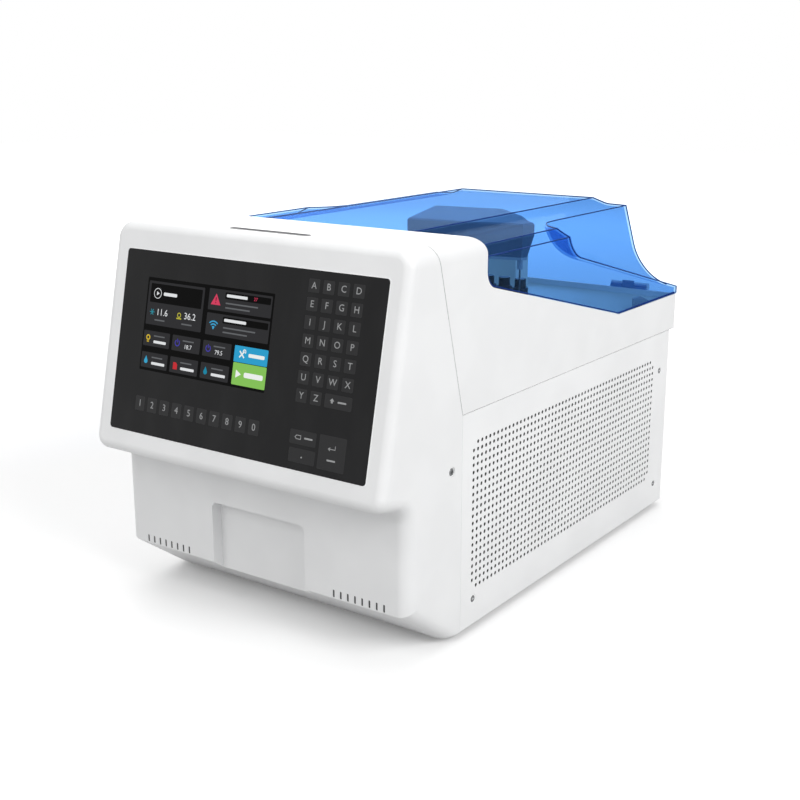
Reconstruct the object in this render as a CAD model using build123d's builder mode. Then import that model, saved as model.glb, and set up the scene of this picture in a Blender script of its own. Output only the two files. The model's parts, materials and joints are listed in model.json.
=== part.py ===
"""Bench chemistry analyzer: white case, tilted touch panel, blue lid over a sampling deck.

Millimetres, +Z up. X runs across the front, Y from the front to the back. The origin is on the
ground under the middle of the overall box.
"""

from build123d import *
import os
from math import atan2, cos, degrees, hypot, radians, sin, tan

os.makedirs("parts", exist_ok=True)

# Case
case_width = 342.6
case_depth = 579.5  # foremost point of the lip to the back of the upper shell
body_height = 361.0  # underside of the case to the top deck
foot_height = 6.0
foot_radius = 11.0
wall = 3.0  # moulded covers
sheet = 2.0  # sheet metal
seam_gap = 0.4  # shown seams between covers
fit_gap = 0.3  # pieces that lie side by side
running_gap = 0.05  # shafts in their bores
side_radius = 16.0  # top deck to side wall
corner_radius = 13.0  # upright front corners
overcut = 1.0  # how far cutting shapes run past a surface

# Touch panel
panel_tilt = 12.4
glass_width = 303.2
glass_height = 170.1
glass_thickness = 3.0
glass_radius = 3.0
glass_drop = 190.0  # lower edge of the glass below the top deck
lip_drop = 22.0  # housing below the glass
lip_radius = 9.0
ledge = 6.0  # strip of housing that the glass rests on
head_reach = 150.0
display_width = 164.0
display_height = 100.0
display_thickness = 6.0
display_x = -43.9
display_rise = 17.95  # middle of the display above the middle of the glass
board_thickness = 1.6
keypad_width = 66.0
keypad_inset = 52.6  # middle of the key board from the side of the glass
digit_row_width = 152.0
digit_row_height = 20.0
digit_row_t = 28.0
display_standoff_inset = 10.0
control_board_inset = 5.0
control_chip = 18.0
control_chip_height = 3.0
control_chip_step_x = 38.0
control_chip_step_y = 30.0

# Front below the panel
face_setback = 35.0  # lower front face behind the lower edge of the glass
chin_height = 43.0
chin_length = 60.0
flare_radius = 14.0
flare_length = 20.0
flare_rise = 12.0
recess_width = 112.4
recess_height = 104.2
recess_depth = 12.0
recess_radius = 6.0
slot_count = 8
slot_pitch = 7.94
slot_length = 7.5
slot_width = 2.1
slot_height = 47.5
slot_middle = 117.1

# Seam between the front and the covers behind it
seam_setback = 75.5
seam_tilt = 15.0
panel_height = 207.0

# Upper shell
deck_length = 79.1  # seam to the bay, along the top deck
deck_edge_radius = 17.0
rail_drop = 44.6  # side wall below the top deck, where it leaves the deck's back
rail_slope = 14.3
rail_fall = 68.8  # fall of the side wall towards the back
rail_radius = 17.0
back_radius = 3.0
overhang = 14.5  # upper shell past the lower back panel

# Printer
paper_slot_length = 93.0
paper_slot_width = 8.0
paper_slot_setback = 64.0
platen_radius = 5.0
platen_length = 84.0
platen_drop = 24.0
paper_gap = 0.5
print_bar = 6.0
frame_gap = 1.0  # between the platen's ends and the frame
frame_foot = 15.0  # front corner of the frame below the platen's axis
gear_radius = 7.0
gear_width = 5.0
roll_radius = 19.0
roll_core = 6.0
roll_length = 80.0
roll_setback = 32.0
roll_drop = 32.0
cradle_thickness = 3.0

# Lid
lid_thickness = 2.6
lid_gap = 0.5
lid_drop = 3.0  # crown below the top deck
crown_inset = 83.3  # these four from the side of the case
knee_inset = 67.3
shoulder_inset = 15.3
ridge_inset = 43.3
knee_drop = 6.0  # these three below the crown
shoulder_drop = 7.5
eaves_drop = 15.0
knee_radius = 22.0
crest_inset = 56.5  # back end of the crown ahead of the lid's back edge
skirt_rise = 8.9  # lower back edge above the side wall
skirt_slope = 14.6
scoop_setback = 150.4  # start of the side scoops behind the bay's front
scoop_radius = 44.0
scoop_fillet = 40.0
hinge_radius = 4.5
hinge_pin_radius = 1.5
hinge_length = 46.0
hinge_half_spacing = 110.0
hinge_leaf = 1.6
hinge_leaf_height = 22.0
bumper_width = 6.0
bumper_lead = 52.0  # behind where the side wall levels out
bay_clear = 40.0  # room above the crown that cutting shapes pass through

# Side panels
hole_radius = 2.4
hole_pitch = 14.2
hole_start = 17.0  # first column behind the seam
hole_end = 41.0  # least distance from the last column to the back edge
hole_floor = 36.0  # lowest row above the underside
hole_head = 25.0  # least distance from the highest row to the upper edge
dimple_radius = 4.6
dimple_depth = 0.9
screw_head_radius = 3.4
screw_head_height = 0.8
screw_radius = 1.5
screw_length = 8.0
panel_screw_low = 25.5
panel_screw_high = 162.7
panel_screw_front = 22.0
panel_screw_back = 22.0
cheek_screw_lead = 16.0
cheek_screw_height = 159.6

# Base tray and feet
tray_rim = 34.0
foot_inset = 30.0
foot_taper = 8.0
ear_height = 24.0

# Work deck and its posts
deck_sink = 6.6  # below the lowest part of the side wall
deck_thickness = 2.5
post_size = 14.0
post_setback = 12.0
post_radius = 2.0

# Sampling arm
mast_x = -20.0
mast_setback = 240.4
mast_radius = 10.0
mast_reach = 19.0  # into the arm, above its floor
mast_hang = 76.0  # these with hang or rise in their names are below or above the deck
mast_bevel = 1.0
guide_radius = 17.0
guide_flange_radius = 28.0
guide_flange = 4.0
guide_rise = 21.0
guide_hang = 51.0
arm_length = 110.0
arm_rest_angle = -17.4
arm_sweep = -81.0
arm_rise = 65.0
arm_depth = 39.0
arm_tail = 69.0  # behind the mast
arm_tail_side = 29.0
arm_shoulder = 6.0  # ahead of the mast
arm_half = 69.0
arm_cheek = 40.0  # behind the needle
arm_cheek_half = 40.0
arm_nose = 4.0  # behind the needle
arm_nose_half = 16.0
arm_tip = 12.0  # ahead of the needle
arm_tip_half = 8.0
arm_band = 13.0  # the hood's upright upper part
arm_lean = 6.0
arm_edge = 1.6
arm_plate = 3.0
arm_shell = 2.0
arm_socket_radius = 16.0
arm_socket_drop = 10.0
needle_radius = 0.9
needle_rise = 31.0
needle_reach = 16.0  # into the arm, above its floor
needle_bevel = 0.54
needle_grip_radius = 3.0
lift_offset = 46.0
lift_bracket_height = 10.0
lift_rod_radius = 3.0
lift_bracket_wall = 5.0
lift_body = 30.0
lift_body_radius = 3.0
lift_body_hang = 51.0
lift_rod_hang = 9.0

# Sample and reagent drum
sample_x = 72.0
sample_setback = 136.4
cup_count = 24
cup_radius = 5.9
cup_bore_gap = 0.25
cup_wall = 0.8
cup_flange = 1.2
cup_depth = 27.0
cup_rise = 4.0
drum_rim = 2.0
drum_rise = 17.0
drum_gap = 2.0  # above its bearing
bottle_count = 8
bottle_ring = 42.0
bottle_radius = 12.7
bottle_neck_radius = 7.0
bottle_wall = 1.2
bottle_neck_height = 9.0  # these two above the drum's top
bottle_shoulder_height = 2.0
bottle_foot_rise = 3.0

# Cuvette rotor
cuvette_x = -92.0
cuvette_setback = 135.4
cuvette_count = 36
cuvette_size = 6.0
cuvette_wall = 0.8
cuvette_lip = 0.8
cuvette_depth = 25.0
rotor_rise = 15.0
rotor_thickness = 4.0
rotor_rim = 8.0

# Wells and drives below both
well_gap = 1.5
well_wall = 2.0
well_depth = 18.0  # below the deck's top
well_floor_thickness = 3.0
spindle_radius = 4.0
spindle_hang = 36.0
bearing_radius = 11.0
bearing_height = 6.0
motor_size = 42.0
motor_height = 38.0
motor_radius = 4.0
hub_radius = 12.0

# Small pieces on and under the deck
wash_angle = -71.6  # from the arm's rest, between the drum and the rotor
wash_radius = 5.2
wash_bore = 3.6
wash_rise = 21.0
wash_hang = 15.0
tower_width = 87.0
tower_depth = 30.0
tower_setback = 22.0
tower_height = 42.0
tower_radius = 2.0
tower_x = -56.5
detergent_radius = 9.0
detergent_pitch = 21.0
detergent_count = 3
detergent_x = 12.0
detergent_lead = 60.0
detergent_height = 17.0
detergent_cap_radius = 6.5
detergent_cap_height = 10.0
bracket_length = 50.0
bracket_height = 14.0
bracket_top = 16.7
bracket_inset = 8.0
bracket_setback = 68.0
photometer_width = 50.0
photometer_depth = 34.0
photometer_height = 30.0
photometer_radius = 3.0
lens_radius = 11.3
lens_height = 10.0
lamp_width = 34.0
lamp_gap = 6.0
lamp_fin_count = 5
lamp_fin_depth = 10.0

# Lower compartment
supply_width = 96.0
supply_depth = 160.0
supply_height = 44.0
supply_side_gap = 6.0
supply_back_gap = 8.0
supply_radius = 2.0
supply_vent_step = 12.0
supply_vent_count = 6
supply_vent_length = 96.0
supply_vent_width = 4.0
main_board_width = 150.0
main_board_front_gap = 34.6
main_board_back_gap = 10.0
main_board_hole_inset = 6.0
main_chip = 24.0
main_chip_height = 4.0
main_chip_columns = 3
main_chip_rows = 4
main_chip_side_inset = 31.0
main_chip_end_inset = 28.0
standoff_height = 10.0
standoff_radius = 3.5
syringe_radius = 8.0
syringe_wall = 1.5
syringe_height = 70.0
syringe_block = 30.0
syringe_stroke = 30.0
syringe_clip_rise = 49.0
plunger_rod_radius = 2.5
plunger_head_height = 6.0
pump_radius = 24.0
pump_depth = 26.0
pump_wall = 4.0
pump_roller_radius = 5.0
pump_roller_count = 3
pump_roller_inset = 1.0
pump_corner = 6.0
valve_size = 18.0
valve_height = 34.0
valve_pitch = 22.0
valve_count = 4
valve_corner = 2.0
valve_cap_radius = 6.0
valve_cap_height = 6.0
manifold_height = 12.0
manifold_end = 3.0
manifold_side = 5.0
manifold_bevel = 1.0
syringe_spacing = 58.0  # from the pump
syringe_setback = 36.0
syringe_base = 6.0
pump_inset = 53.3  # from the side of the case
valve_inset = 81.3
valve_setback = 120.5  # ahead of the back panel

# Back panel fittings
fan_size = 80.0
fan_depth = 25.0
fan_bore_radius = 37.5
fan_hub_radius = 15.0
fan_blade_count = 7
fan_blade_gap = 1.5
fan_blade_thickness = 2.0
fan_blade_pitch = 35.0
fan_blade_root = 2.0
fan_corner = 4.0
fan_spoke = 3.0
fan_spoke_width = 4.0
fan_shaft_radius = 2.0
fan_inset = 76.3  # from the side of the case
fan_z = 105.0
guard_wire = 1.2
guard_rings = 4
guard_pitch = 9.0
guard_rim = 2.0  # outer ring past the bore
guard_end = 4.0
guard_bar = 1.8
inlet_width = 48.0
inlet_height = 28.0
inlet_inset = 53.3  # from the side of the case
inlet_z = 52.0
inlet_flange = 1.5
inlet_rim = 3.0
inlet_corner = 2.0
inlet_depth = 24.0
socket_width = 21.0
socket_height = 15.0
socket_depth = 15.0
socket_end = 1.0
contact_width = 2.0
contact_height = 4.0
contact_sink = 2.0
rocker_width = 19.0
rocker_height = 13.0
rocker_gap = 0.8
rocker_sink = 2.5
rocker_end = 2.5
rocker_rise = 2.0
rocker_body = 2.0
rocker_tip_gap = 1.0
rocker_pin_reach = 1.0
rocker_pin_radius = 1.2
rear_screw_inset = 14.0
louvre_x = -60.0
louvre_z = 104.0
louvre_pitch = 6.0
louvre_count = 16
louvre_length = 26.0
port_x = 0.0
port_z = 52.0
port_pitch = 24.0
port_stand = 0.6
usb_width = 13.5
usb_height = 6.0
lan_width = 16.0
lan_height = 13.5
port_depth = 14.0
port_floor = 2.0
usb_shell = 0.6
lan_shell = 1.0
fluid_port_inset = 71.3  # first one from the side of the case
fluid_port_z = 150.0
fluid_port_pitch = 24.0
fluid_port_count = 4
fluid_port_radius = 3.0
fluid_port_bore = 1.5
fluid_port_length = 14.0
fluid_nut_radius = 5.4

# Places worked out from the sizes above
tilt = radians(panel_tilt)
half = case_width / 2
hinge_reach = 2 * hinge_radius + lid_gap
lip_overhang = (lip_drop - lip_radius) * sin(tilt) + lip_radius * (1 - cos(tilt))
front_y = -(case_depth + hinge_reach) / 2
glass_y = front_y + lip_overhang
shell_back_y = front_y + case_depth
base_z = foot_height
top_z = base_z + body_height
face_y = glass_y + face_setback
chin_y = face_y + chin_length
seam_top_y = glass_y + seam_setback
seam_z = base_z + panel_height
seam_y = seam_top_y + (top_z - seam_z) * tan(radians(seam_tilt))
bay_y = seam_top_y + deck_length
level_y = bay_y + rail_fall / tan(radians(rail_slope))  # where the side wall levels out
bay_back_y = shell_back_y - wall
back_y = shell_back_y - overhang
inner_half = half - wall
glass_foot = body_height - glass_drop
display_t = glass_height / 2 + display_rise
keypad_height = glass_height - 2 * (ledge + fit_gap)
keypad_x = glass_width / 2 - keypad_inset
rail_high = body_height - rail_drop
rail_low = rail_high - rail_fall
lid_top = body_height - lid_drop
knee_height = lid_top - knee_drop
shoulder_height = lid_top - shoulder_drop
eaves_height = lid_top - eaves_drop
skirt_height = rail_low + skirt_rise
crown_half_width = half - crown_inset
knee_half_width = half - knee_inset
shoulder_half_width = half - shoulder_inset
ridge_half_width = half - ridge_inset
deck_height = rail_low - deck_sink
deck_top = base_z + deck_height
deck_under = deck_top - deck_thickness
lid_back_y = shell_back_y
tray_top = base_z + sheet

glass_plane = Plane(
    origin=(0, glass_y, base_z + glass_foot),
    x_dir=(1, 0, 0),
    z_dir=(0, -cos(tilt), sin(tilt)),
)
outward = Axis(glass_plane.origin, glass_plane.z_dir)
lip_y = glass_y - lip_drop * sin(tilt)
lip_z = base_z + glass_foot - lip_drop * cos(tilt)
flare_z = lip_z - (face_y - lip_y) * tan(tilt)

arm_floor = deck_height + arm_rise
arm_top = arm_floor + arm_depth
mast_top = arm_floor + mast_reach
mast_foot = deck_height - mast_hang
guide_top = deck_height + guide_rise
guide_foot = deck_height - guide_hang
needle_tip = deck_height + needle_rise
needle_top = arm_floor + needle_reach
lift_body_foot = deck_height - lift_body_hang
lift_rod_top = deck_height - lift_rod_hang
well_floor = deck_height - well_depth
drum_top = deck_height + drum_rise
drum_foot = well_floor + bearing_height + drum_gap
bottle_top = drum_top + bottle_neck_height
bottle_shoulder = drum_top + bottle_shoulder_height
rotor_top = deck_height + rotor_rise
spindle_foot = deck_height - spindle_hang
wash_height = deck_height + wash_rise
wash_foot = deck_height - wash_hang

mast_y = bay_y + mast_setback
sample_y = bay_y + sample_setback
cuvette_y = bay_y + cuvette_setback

pump_x = half - pump_inset
syringe_x = pump_x - syringe_spacing
valve_x = half - valve_inset
valve_y = back_y - valve_setback
fan_x = half - fan_inset
inlet_x = inlet_inset - half
fluid_port_x = fluid_port_inset - half


def needle_place(turn):
    """Where the needle stands when the arm has turned by that many degrees."""
    angle = radians(arm_rest_angle + turn)
    return mast_x + arm_length * cos(angle), mast_y + arm_length * sin(angle)


needle_x, needle_y = needle_place(0)
over_x, over_y = needle_place(arm_sweep)
wash_x, wash_y = needle_place(wash_angle)
cup_ring = hypot(needle_x - sample_x, needle_y - sample_y)
cup_angle = degrees(atan2(needle_y - sample_y, needle_x - sample_x))
cuvette_ring = hypot(over_x - cuvette_x, over_y - cuvette_y)
cuvette_angle = degrees(atan2(over_y - cuvette_y, over_x - cuvette_x))
cup_bore = cup_radius + cup_bore_gap
drum_radius = cup_ring + cup_bore + drum_rim
rotor_radius = cuvette_ring + rotor_rim
sample_well_radius = drum_radius + well_gap
cuvette_well_radius = rotor_radius + well_gap
well_under = base_z + well_floor - well_floor_thickness


def two_ended(first, first_radius, second, second_radius):
    """Two circles and the straight sides that join them."""
    with BuildSketch() as plan:
        with Locations(first):
            Circle(first_radius)
        with Locations(second):
            Circle(second_radius)
        make_hull()
    return plan.sketch


def save(piece, name):
    """Labels a finished piece and writes it."""
    piece.part.label = name
    export_step(piece.part, f"parts/{name}.step")


def deck_outline(inset):
    """The case from the front: straight sides and rounded upper corners."""
    with BuildSketch(Plane.XZ) as outline:
        with Locations((0, top_z - inset)):
            Rectangle(case_width - 2 * inset, body_height, align=(Align.CENTER, Align.MAX))
        fillet(outline.vertices().group_by(Axis.Y)[-1], side_radius - inset)
    return outline.sketch


def head_form(inset, reach):
    """The tilted head of the front, shrunk by inset, with its outer rim rounded."""
    with BuildPart() as head:
        with BuildSketch(glass_plane.offset(-inset)) as face:
            with Locations((0, inset - lip_drop)):
                Rectangle(case_width - 2 * inset, body_height, align=(Align.CENTER, Align.MIN))
            fillet(face.vertices().group_by(Axis.Y)[0], corner_radius - inset)
        extrude(amount=-reach)
        extrude(deck_outline(inset), amount=case_depth, both=True, mode=Mode.INTERSECT)
        rim = head.faces().filter_by(glass_plane).sort_by(outward)[-1]
        fillet(rim.edges(), lip_radius - inset)
    return head.part


def upright_form(inset, reach, flared):
    """The lower front with its chin, shrunk by inset. Its flare runs out under the head."""
    lip = face_y - flare_length * cos(tilt)
    flare = [
        (lip, flare_z + flare_length + flare_rise),
        (lip, flare_z + flare_length * sin(tilt)),
        (face_y, flare_z),
    ]
    with BuildPart() as lower:
        with BuildSketch(Plane.YZ) as profile:
            with BuildLine():
                Polyline(
                    (face_y, base_z + chin_height),
                    (chin_y, base_z),
                    (seam_y + reach, base_z),
                    (seam_y + reach, flare_z + flare_rise),
                    *(flare if flared else [(face_y, flare_z + flare_rise)]),
                    close=True,
                )
            make_face()
            if flared:
                fillet(profile.vertices().sort_by_distance((face_y, flare_z))[0], flare_radius)
            if inset:
                offset(amount=-inset, kind=Kind.INTERSECTION)
        extrude(amount=half - inset, both=True)
        sides = lower.edges().group_by(Axis.X)[0] + lower.edges().group_by(Axis.X)[-1]
        front = sides.filter_by_position(Axis.Y, front_y, chin_y)
        floor = base_z + inset + overcut
        fillet(front.filter_by_position(Axis.Z, floor, flare_z + flare_length), corner_radius - inset)
    return lower.part


def behind_seam(shift):
    """Everything behind the seam, which is tilted above the side panels and upright below."""
    with BuildPart() as rest:
        with BuildSketch(Plane.YZ):
            with BuildLine():
                Polyline(
                    (seam_top_y + shift - side_radius * tan(radians(seam_tilt)), top_z + side_radius),
                    (seam_y + shift, seam_z),
                    (seam_y + shift, 0),
                    (shell_back_y + case_depth, 0),
                    (shell_back_y + case_depth, top_z + side_radius),
                    close=True,
                )
            make_face()
        extrude(amount=case_width, both=True)
    return rest.part


# Front fascia: hollow moulding with the glass seat, recess, vents and paper slot
with BuildPart() as outer_front:
    add(head_form(0, head_reach))
    add(upright_form(0, head_reach, True))

with BuildPart() as recess_liner:
    add(outer_front.part)
    with BuildSketch(Plane.XZ.offset(-face_y)):
        with Locations((0, base_z)):
            Rectangle(
                recess_width + 2 * wall,
                recess_height + wall,
                align=(Align.CENTER, Align.MIN),
            )
    extrude(amount=-(recess_depth + wall), mode=Mode.INTERSECT)

with BuildPart() as front_fascia:
    add(outer_front.part)
    add(head_form(wall, head_reach + 4 * wall), mode=Mode.SUBTRACT)
    add(upright_form(wall, head_reach + 4 * wall, False), mode=Mode.SUBTRACT)
    add(behind_seam(0), mode=Mode.SUBTRACT)
    add(recess_liner.part)
    with BuildSketch(Plane.XZ.offset(-face_y)) as pocket:
        with Locations((0, base_z - overcut)):
            Rectangle(recess_width, recess_height + overcut, align=(Align.CENTER, Align.MIN))
        fillet(pocket.vertices().group_by(Axis.Y)[-1], recess_radius)
    extrude(amount=-recess_depth, mode=Mode.SUBTRACT)
    with BuildSketch(Plane.XZ.offset(-face_y)):
        with Locations((slot_middle, base_z + slot_height), (-slot_middle, base_z + slot_height)):
            with GridLocations(slot_pitch, slot_pitch, slot_count, 1):
                SlotOverall(slot_length, slot_width, rotation=90)
    extrude(amount=-2 * wall, both=True, mode=Mode.SUBTRACT)
    with BuildSketch(glass_plane.offset(-wall / 2)):
        with Locations((0, glass_height / 2)):
            Rectangle(glass_width + 2 * ledge, glass_height + 2 * ledge)
    extrude(amount=wall / 2 - glass_thickness - wall)
    with BuildSketch(glass_plane):
        with Locations((0, glass_height / 2)):
            RectangleRounded(
                glass_width + 2 * fit_gap, glass_height + 2 * fit_gap, glass_radius + fit_gap
            )
    extrude(amount=-glass_thickness, mode=Mode.SUBTRACT)
    with BuildSketch(glass_plane):
        with Locations((0, glass_height / 2)):
            Rectangle(glass_width - 2 * ledge, glass_height - 2 * ledge)
    extrude(amount=-glass_thickness - 2 * wall, mode=Mode.SUBTRACT)
    with BuildSketch(Plane.XY.offset(top_z)):
        with Locations((0, glass_y + paper_slot_setback)):
            SlotOverall(paper_slot_length, paper_slot_width)
    extrude(amount=-2 * wall, mode=Mode.SUBTRACT)
    cheek_y = seam_y - cheek_screw_lead
    cheek_z = base_z + cheek_screw_height
    with BuildSketch(Plane.YZ):
        with Locations((cheek_y, cheek_z)):
            Circle(screw_radius + fit_gap)
    extrude(amount=half, both=True, mode=Mode.SUBTRACT)
    for side in (-1, 1):
        with BuildSketch(Plane.YZ.offset(side * half)):
            with Locations((cheek_y, cheek_z)):
                Circle(dimple_radius)
        extrude(amount=-side * dimple_depth, mode=Mode.SUBTRACT)
save(front_fascia, "front_fascia")

# Touch glass and display in the tilted plane
with BuildPart() as touch_glass:
    with BuildSketch(glass_plane.offset(-glass_thickness)):
        with Locations((0, glass_height / 2)):
            RectangleRounded(glass_width, glass_height, glass_radius)
    extrude(amount=glass_thickness)
save(touch_glass, "touch_glass")

with BuildPart() as display_module:
    with BuildSketch(glass_plane.offset(-glass_thickness)):
        with Locations((display_x, display_t)):
            Rectangle(display_width, display_height)
    extrude(amount=-display_thickness)
save(display_module, "display_module")


def shell_profile(grow, foot):
    """The upper shell from the side, down to foot and grown by that much."""
    with BuildSketch(Plane.YZ) as profile:
        with BuildLine():
            Polyline(
                (seam_top_y - deck_length, foot),
                (seam_top_y - deck_length, top_z),
                (bay_y, top_z),
                (bay_y, base_z + rail_high),
                (level_y, base_z + rail_low),
                (shell_back_y, base_z + rail_low),
                (shell_back_y, foot),
                close=True,
            )
        make_face()
        edge = profile.vertices().sort_by_distance((bay_y, top_z))[0]
        fillet(edge, deck_edge_radius)
        root = profile.vertices().sort_by_distance((bay_y, base_z + rail_high))[0]
        fillet(root, rail_radius)
        if grow:
            offset(amount=grow, kind=Kind.INTERSECTION)
    return profile.sketch


# Upper shell: top deck, side rails and back wall around the open bay
with BuildPart() as deck_hollow:
    with BuildSketch(Plane.YZ):
        with BuildLine():
            Polyline(
                (seam_top_y - deck_length, seam_z - wall),
                (seam_top_y - deck_length, top_z - wall),
                (bay_y - wall, top_z - wall),
                (bay_y - wall, seam_z - wall),
                close=True,
            )
        hollow_face = make_face()
        fillet(hollow_face.vertices().sort_by_distance((bay_y, top_z))[0], deck_edge_radius - wall)
    extrude(amount=inner_half, both=True)
    extrude(deck_outline(wall), amount=case_depth, both=True, mode=Mode.INTERSECT)

with BuildPart() as upper_shell:
    extrude(shell_profile(0, seam_z), amount=half, both=True)
    extrude(deck_outline(0), amount=case_depth, both=True, mode=Mode.INTERSECT)
    add(behind_seam(seam_gap), mode=Mode.INTERSECT)
    upright = upper_shell.edges().filter_by(Axis.Z)
    fillet(upright.group_by(Axis.Y)[-1], back_radius)
    add(deck_hollow.part, mode=Mode.SUBTRACT)
    with BuildSketch(Plane.XY.offset(seam_z)):
        with Locations((0, bay_y)):
            Rectangle(2 * inner_half, bay_back_y - bay_y, align=(Align.CENTER, Align.MIN))
    extrude(amount=body_height, mode=Mode.SUBTRACT)
    with BuildSketch(Plane.XY.offset(seam_z)):
        with Locations((0, back_y - sheet)):
            Rectangle(2 * inner_half, bay_back_y + sheet - back_y, align=(Align.CENTER, Align.MIN))
    extrude(amount=wall)
    with BuildSketch(Plane.XY.offset(seam_z)):
        Rectangle(2 * case_width, 2 * case_depth)
    extrude(amount=seam_gap, mode=Mode.SUBTRACT)
save(upper_shell, "upper_shell")

# Side panels: perforated sheets between the front seam and the back panel
hole_columns = 1 + int((back_y - hole_end - seam_y - hole_start) / hole_pitch)
hole_rows = 1 + int((panel_height - hole_head - hole_floor) / hole_pitch)
hole_face_y = [seam_y + hole_start + hole_pitch * column for column in range(hole_columns)]
hole_face_z = [base_z + hole_floor + hole_pitch * row for row in range(hole_rows)]
side_front_y = seam_y + seam_gap
panel_screws_at = [
    (side_front_y + panel_screw_front, base_z + panel_screw_low),
    (back_y - panel_screw_back, base_z + panel_screw_low),
    (back_y - panel_screw_back, base_z + panel_screw_high),
]


def corner_hole(column, row):
    """True for the four places at the corners of the grid, which carry no hole."""
    return column in (0, hole_columns - 1) and row in (0, hole_rows - 1)


def side_panel(side):
    """One perforated side sheet, on the left (-1) or on the right (1)."""
    inner = Plane.YZ.offset(side * half - (sheet if side > 0 else 0))
    outline = Wire.make_polygon(
        [
            inner.from_local_coords((side_front_y, base_z)),
            inner.from_local_coords((back_y, base_z)),
            inner.from_local_coords((back_y, seam_z)),
            inner.from_local_coords((side_front_y, seam_z)),
        ]
    )
    holes = [
        Wire.make_circle(hole_radius, inner.shift_origin(inner.from_local_coords((y, z))))
        for column, y in enumerate(hole_face_y)
        for row, z in enumerate(hole_face_z)
        if not corner_hole(column, row)
    ]
    with BuildPart() as panel:
        extrude(Face(outline, holes), amount=sheet, dir=(1, 0, 0))
        with BuildSketch(Plane.YZ.offset(side * half)):
            with Locations(panel_screws_at):
                Circle(dimple_radius)
        extrude(amount=-side * dimple_depth, mode=Mode.SUBTRACT)
        with BuildSketch(Plane.YZ.offset(side * half)):
            with Locations(panel_screws_at):
                Circle(screw_radius + fit_gap)
        extrude(amount=-side * sheet, mode=Mode.SUBTRACT)
    return panel


side_panel_right = side_panel(1)
save(side_panel_right, "side_panel_right")
side_panel_left = side_panel(-1)
save(side_panel_left, "side_panel_left")

with BuildPart() as side_screws:
    for side in (-1, 1):
        seat = side * (half - dimple_depth)
        with BuildSketch(Plane.YZ.offset(seat)):
            with Locations((cheek_y, cheek_z), *panel_screws_at):
                Circle(screw_head_radius)
        extrude(amount=side * screw_head_height)
        with BuildSketch(Plane.YZ.offset(seat)):
            with Locations((cheek_y, cheek_z), *panel_screws_at):
                Circle(screw_radius)
        extrude(amount=-side * screw_length)
save(side_screws, "side_screws")

# Base tray, feet and posts
tray_half = half - sheet - fit_gap
tray_front_y = seam_y + fit_gap
tray_back_y = back_y - sheet - fit_gap
with BuildPart() as base_tray:
    with BuildSketch(Plane.XY.offset(base_z)):
        with Locations((0, tray_front_y)):
            Rectangle(2 * tray_half, tray_back_y - tray_front_y, align=(Align.CENTER, Align.MIN))
    extrude(amount=tray_rim)
    with BuildSketch(Plane.XY.offset(tray_top)):
        with Locations((0, tray_front_y + sheet)):
            Rectangle(
                2 * (tray_half - sheet),
                tray_back_y - tray_front_y - 2 * sheet,
                align=(Align.CENTER, Align.MIN),
            )
    extrude(amount=tray_rim, mode=Mode.SUBTRACT)
    with BuildSketch(Plane.YZ):
        with Locations([(y, z) for y, z in panel_screws_at if z < seam_z - panel_height / 2]):
            Circle(screw_radius + fit_gap)
    extrude(amount=half, both=True, mode=Mode.SUBTRACT)
save(base_tray, "base_tray")

foot_places = [
    (x, y)
    for x in (-half + foot_inset, half - foot_inset)
    for y in (tray_front_y + foot_inset, tray_back_y - foot_inset)
]
with BuildPart() as rubber_feet:
    with BuildSketch(Plane.XY):
        with Locations(foot_places):
            Circle(foot_radius)
    extrude(amount=foot_height, taper=-foot_taper)
save(rubber_feet, "rubber_feet")

post_x = tray_half - sheet - fit_gap - post_size / 2
post_places = [
    (x, y)
    for x in (-post_x, post_x)
    for y in (bay_y + post_setback, back_y - panel_screw_back)
]
with BuildPart() as deck_posts:
    with BuildSketch(Plane.XY.offset(tray_top)):
        with Locations(post_places):
            RectangleRounded(post_size, post_size, post_radius)
            RectangleRounded(
                post_size - 2 * sheet,
                post_size - 2 * sheet,
                post_radius / 2,
                mode=Mode.SUBTRACT,
            )
    extrude(amount=deck_under - tray_top)
    with BuildSketch(Plane.YZ):
        with Locations(panel_screws_at):
            Circle(screw_radius + fit_gap)
    extrude(amount=half, both=True, mode=Mode.SUBTRACT)
save(deck_posts, "deck_posts")

# Work deck with the openings for the drum, the rotor, the mast and the wash well
with BuildPart() as work_deck:
    with BuildSketch(Plane.XY.offset(deck_under)):
        with Locations((0, bay_y + fit_gap)):
            Rectangle(
                2 * (inner_half - fit_gap),
                bay_back_y - bay_y - 2 * fit_gap,
                align=(Align.CENTER, Align.MIN),
            )
        with Locations((sample_x, sample_y)):
            Circle(sample_well_radius, mode=Mode.SUBTRACT)
        with Locations((cuvette_x, cuvette_y)):
            Circle(cuvette_well_radius, mode=Mode.SUBTRACT)
        with Locations((mast_x, mast_y)):
            Circle(guide_radius + fit_gap, mode=Mode.SUBTRACT)
        with Locations((wash_x, wash_y)):
            Circle(wash_radius + fit_gap / 2, mode=Mode.SUBTRACT)
    extrude(amount=deck_thickness)
save(work_deck, "work_deck")

with BuildPart() as disk_wells:
    for x, y, radius in (
        (sample_x, sample_y, sample_well_radius),
        (cuvette_x, cuvette_y, cuvette_well_radius),
    ):
        with BuildSketch(Plane.XY.offset(well_under)):
            with Locations((x, y)):
                Circle(radius + well_wall)
        extrude(amount=deck_under - well_under)
        with BuildSketch(Plane.XY.offset(base_z + well_floor)):
            with Locations((x, y)):
                Circle(radius)
        extrude(amount=deck_under - base_z - well_floor, mode=Mode.SUBTRACT)
        with BuildSketch(Plane.XY.offset(well_under)):
            with Locations((x, y)):
                Circle(spindle_radius + running_gap)
        extrude(amount=well_floor_thickness, mode=Mode.SUBTRACT)
save(disk_wells, "disk_wells")

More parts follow.
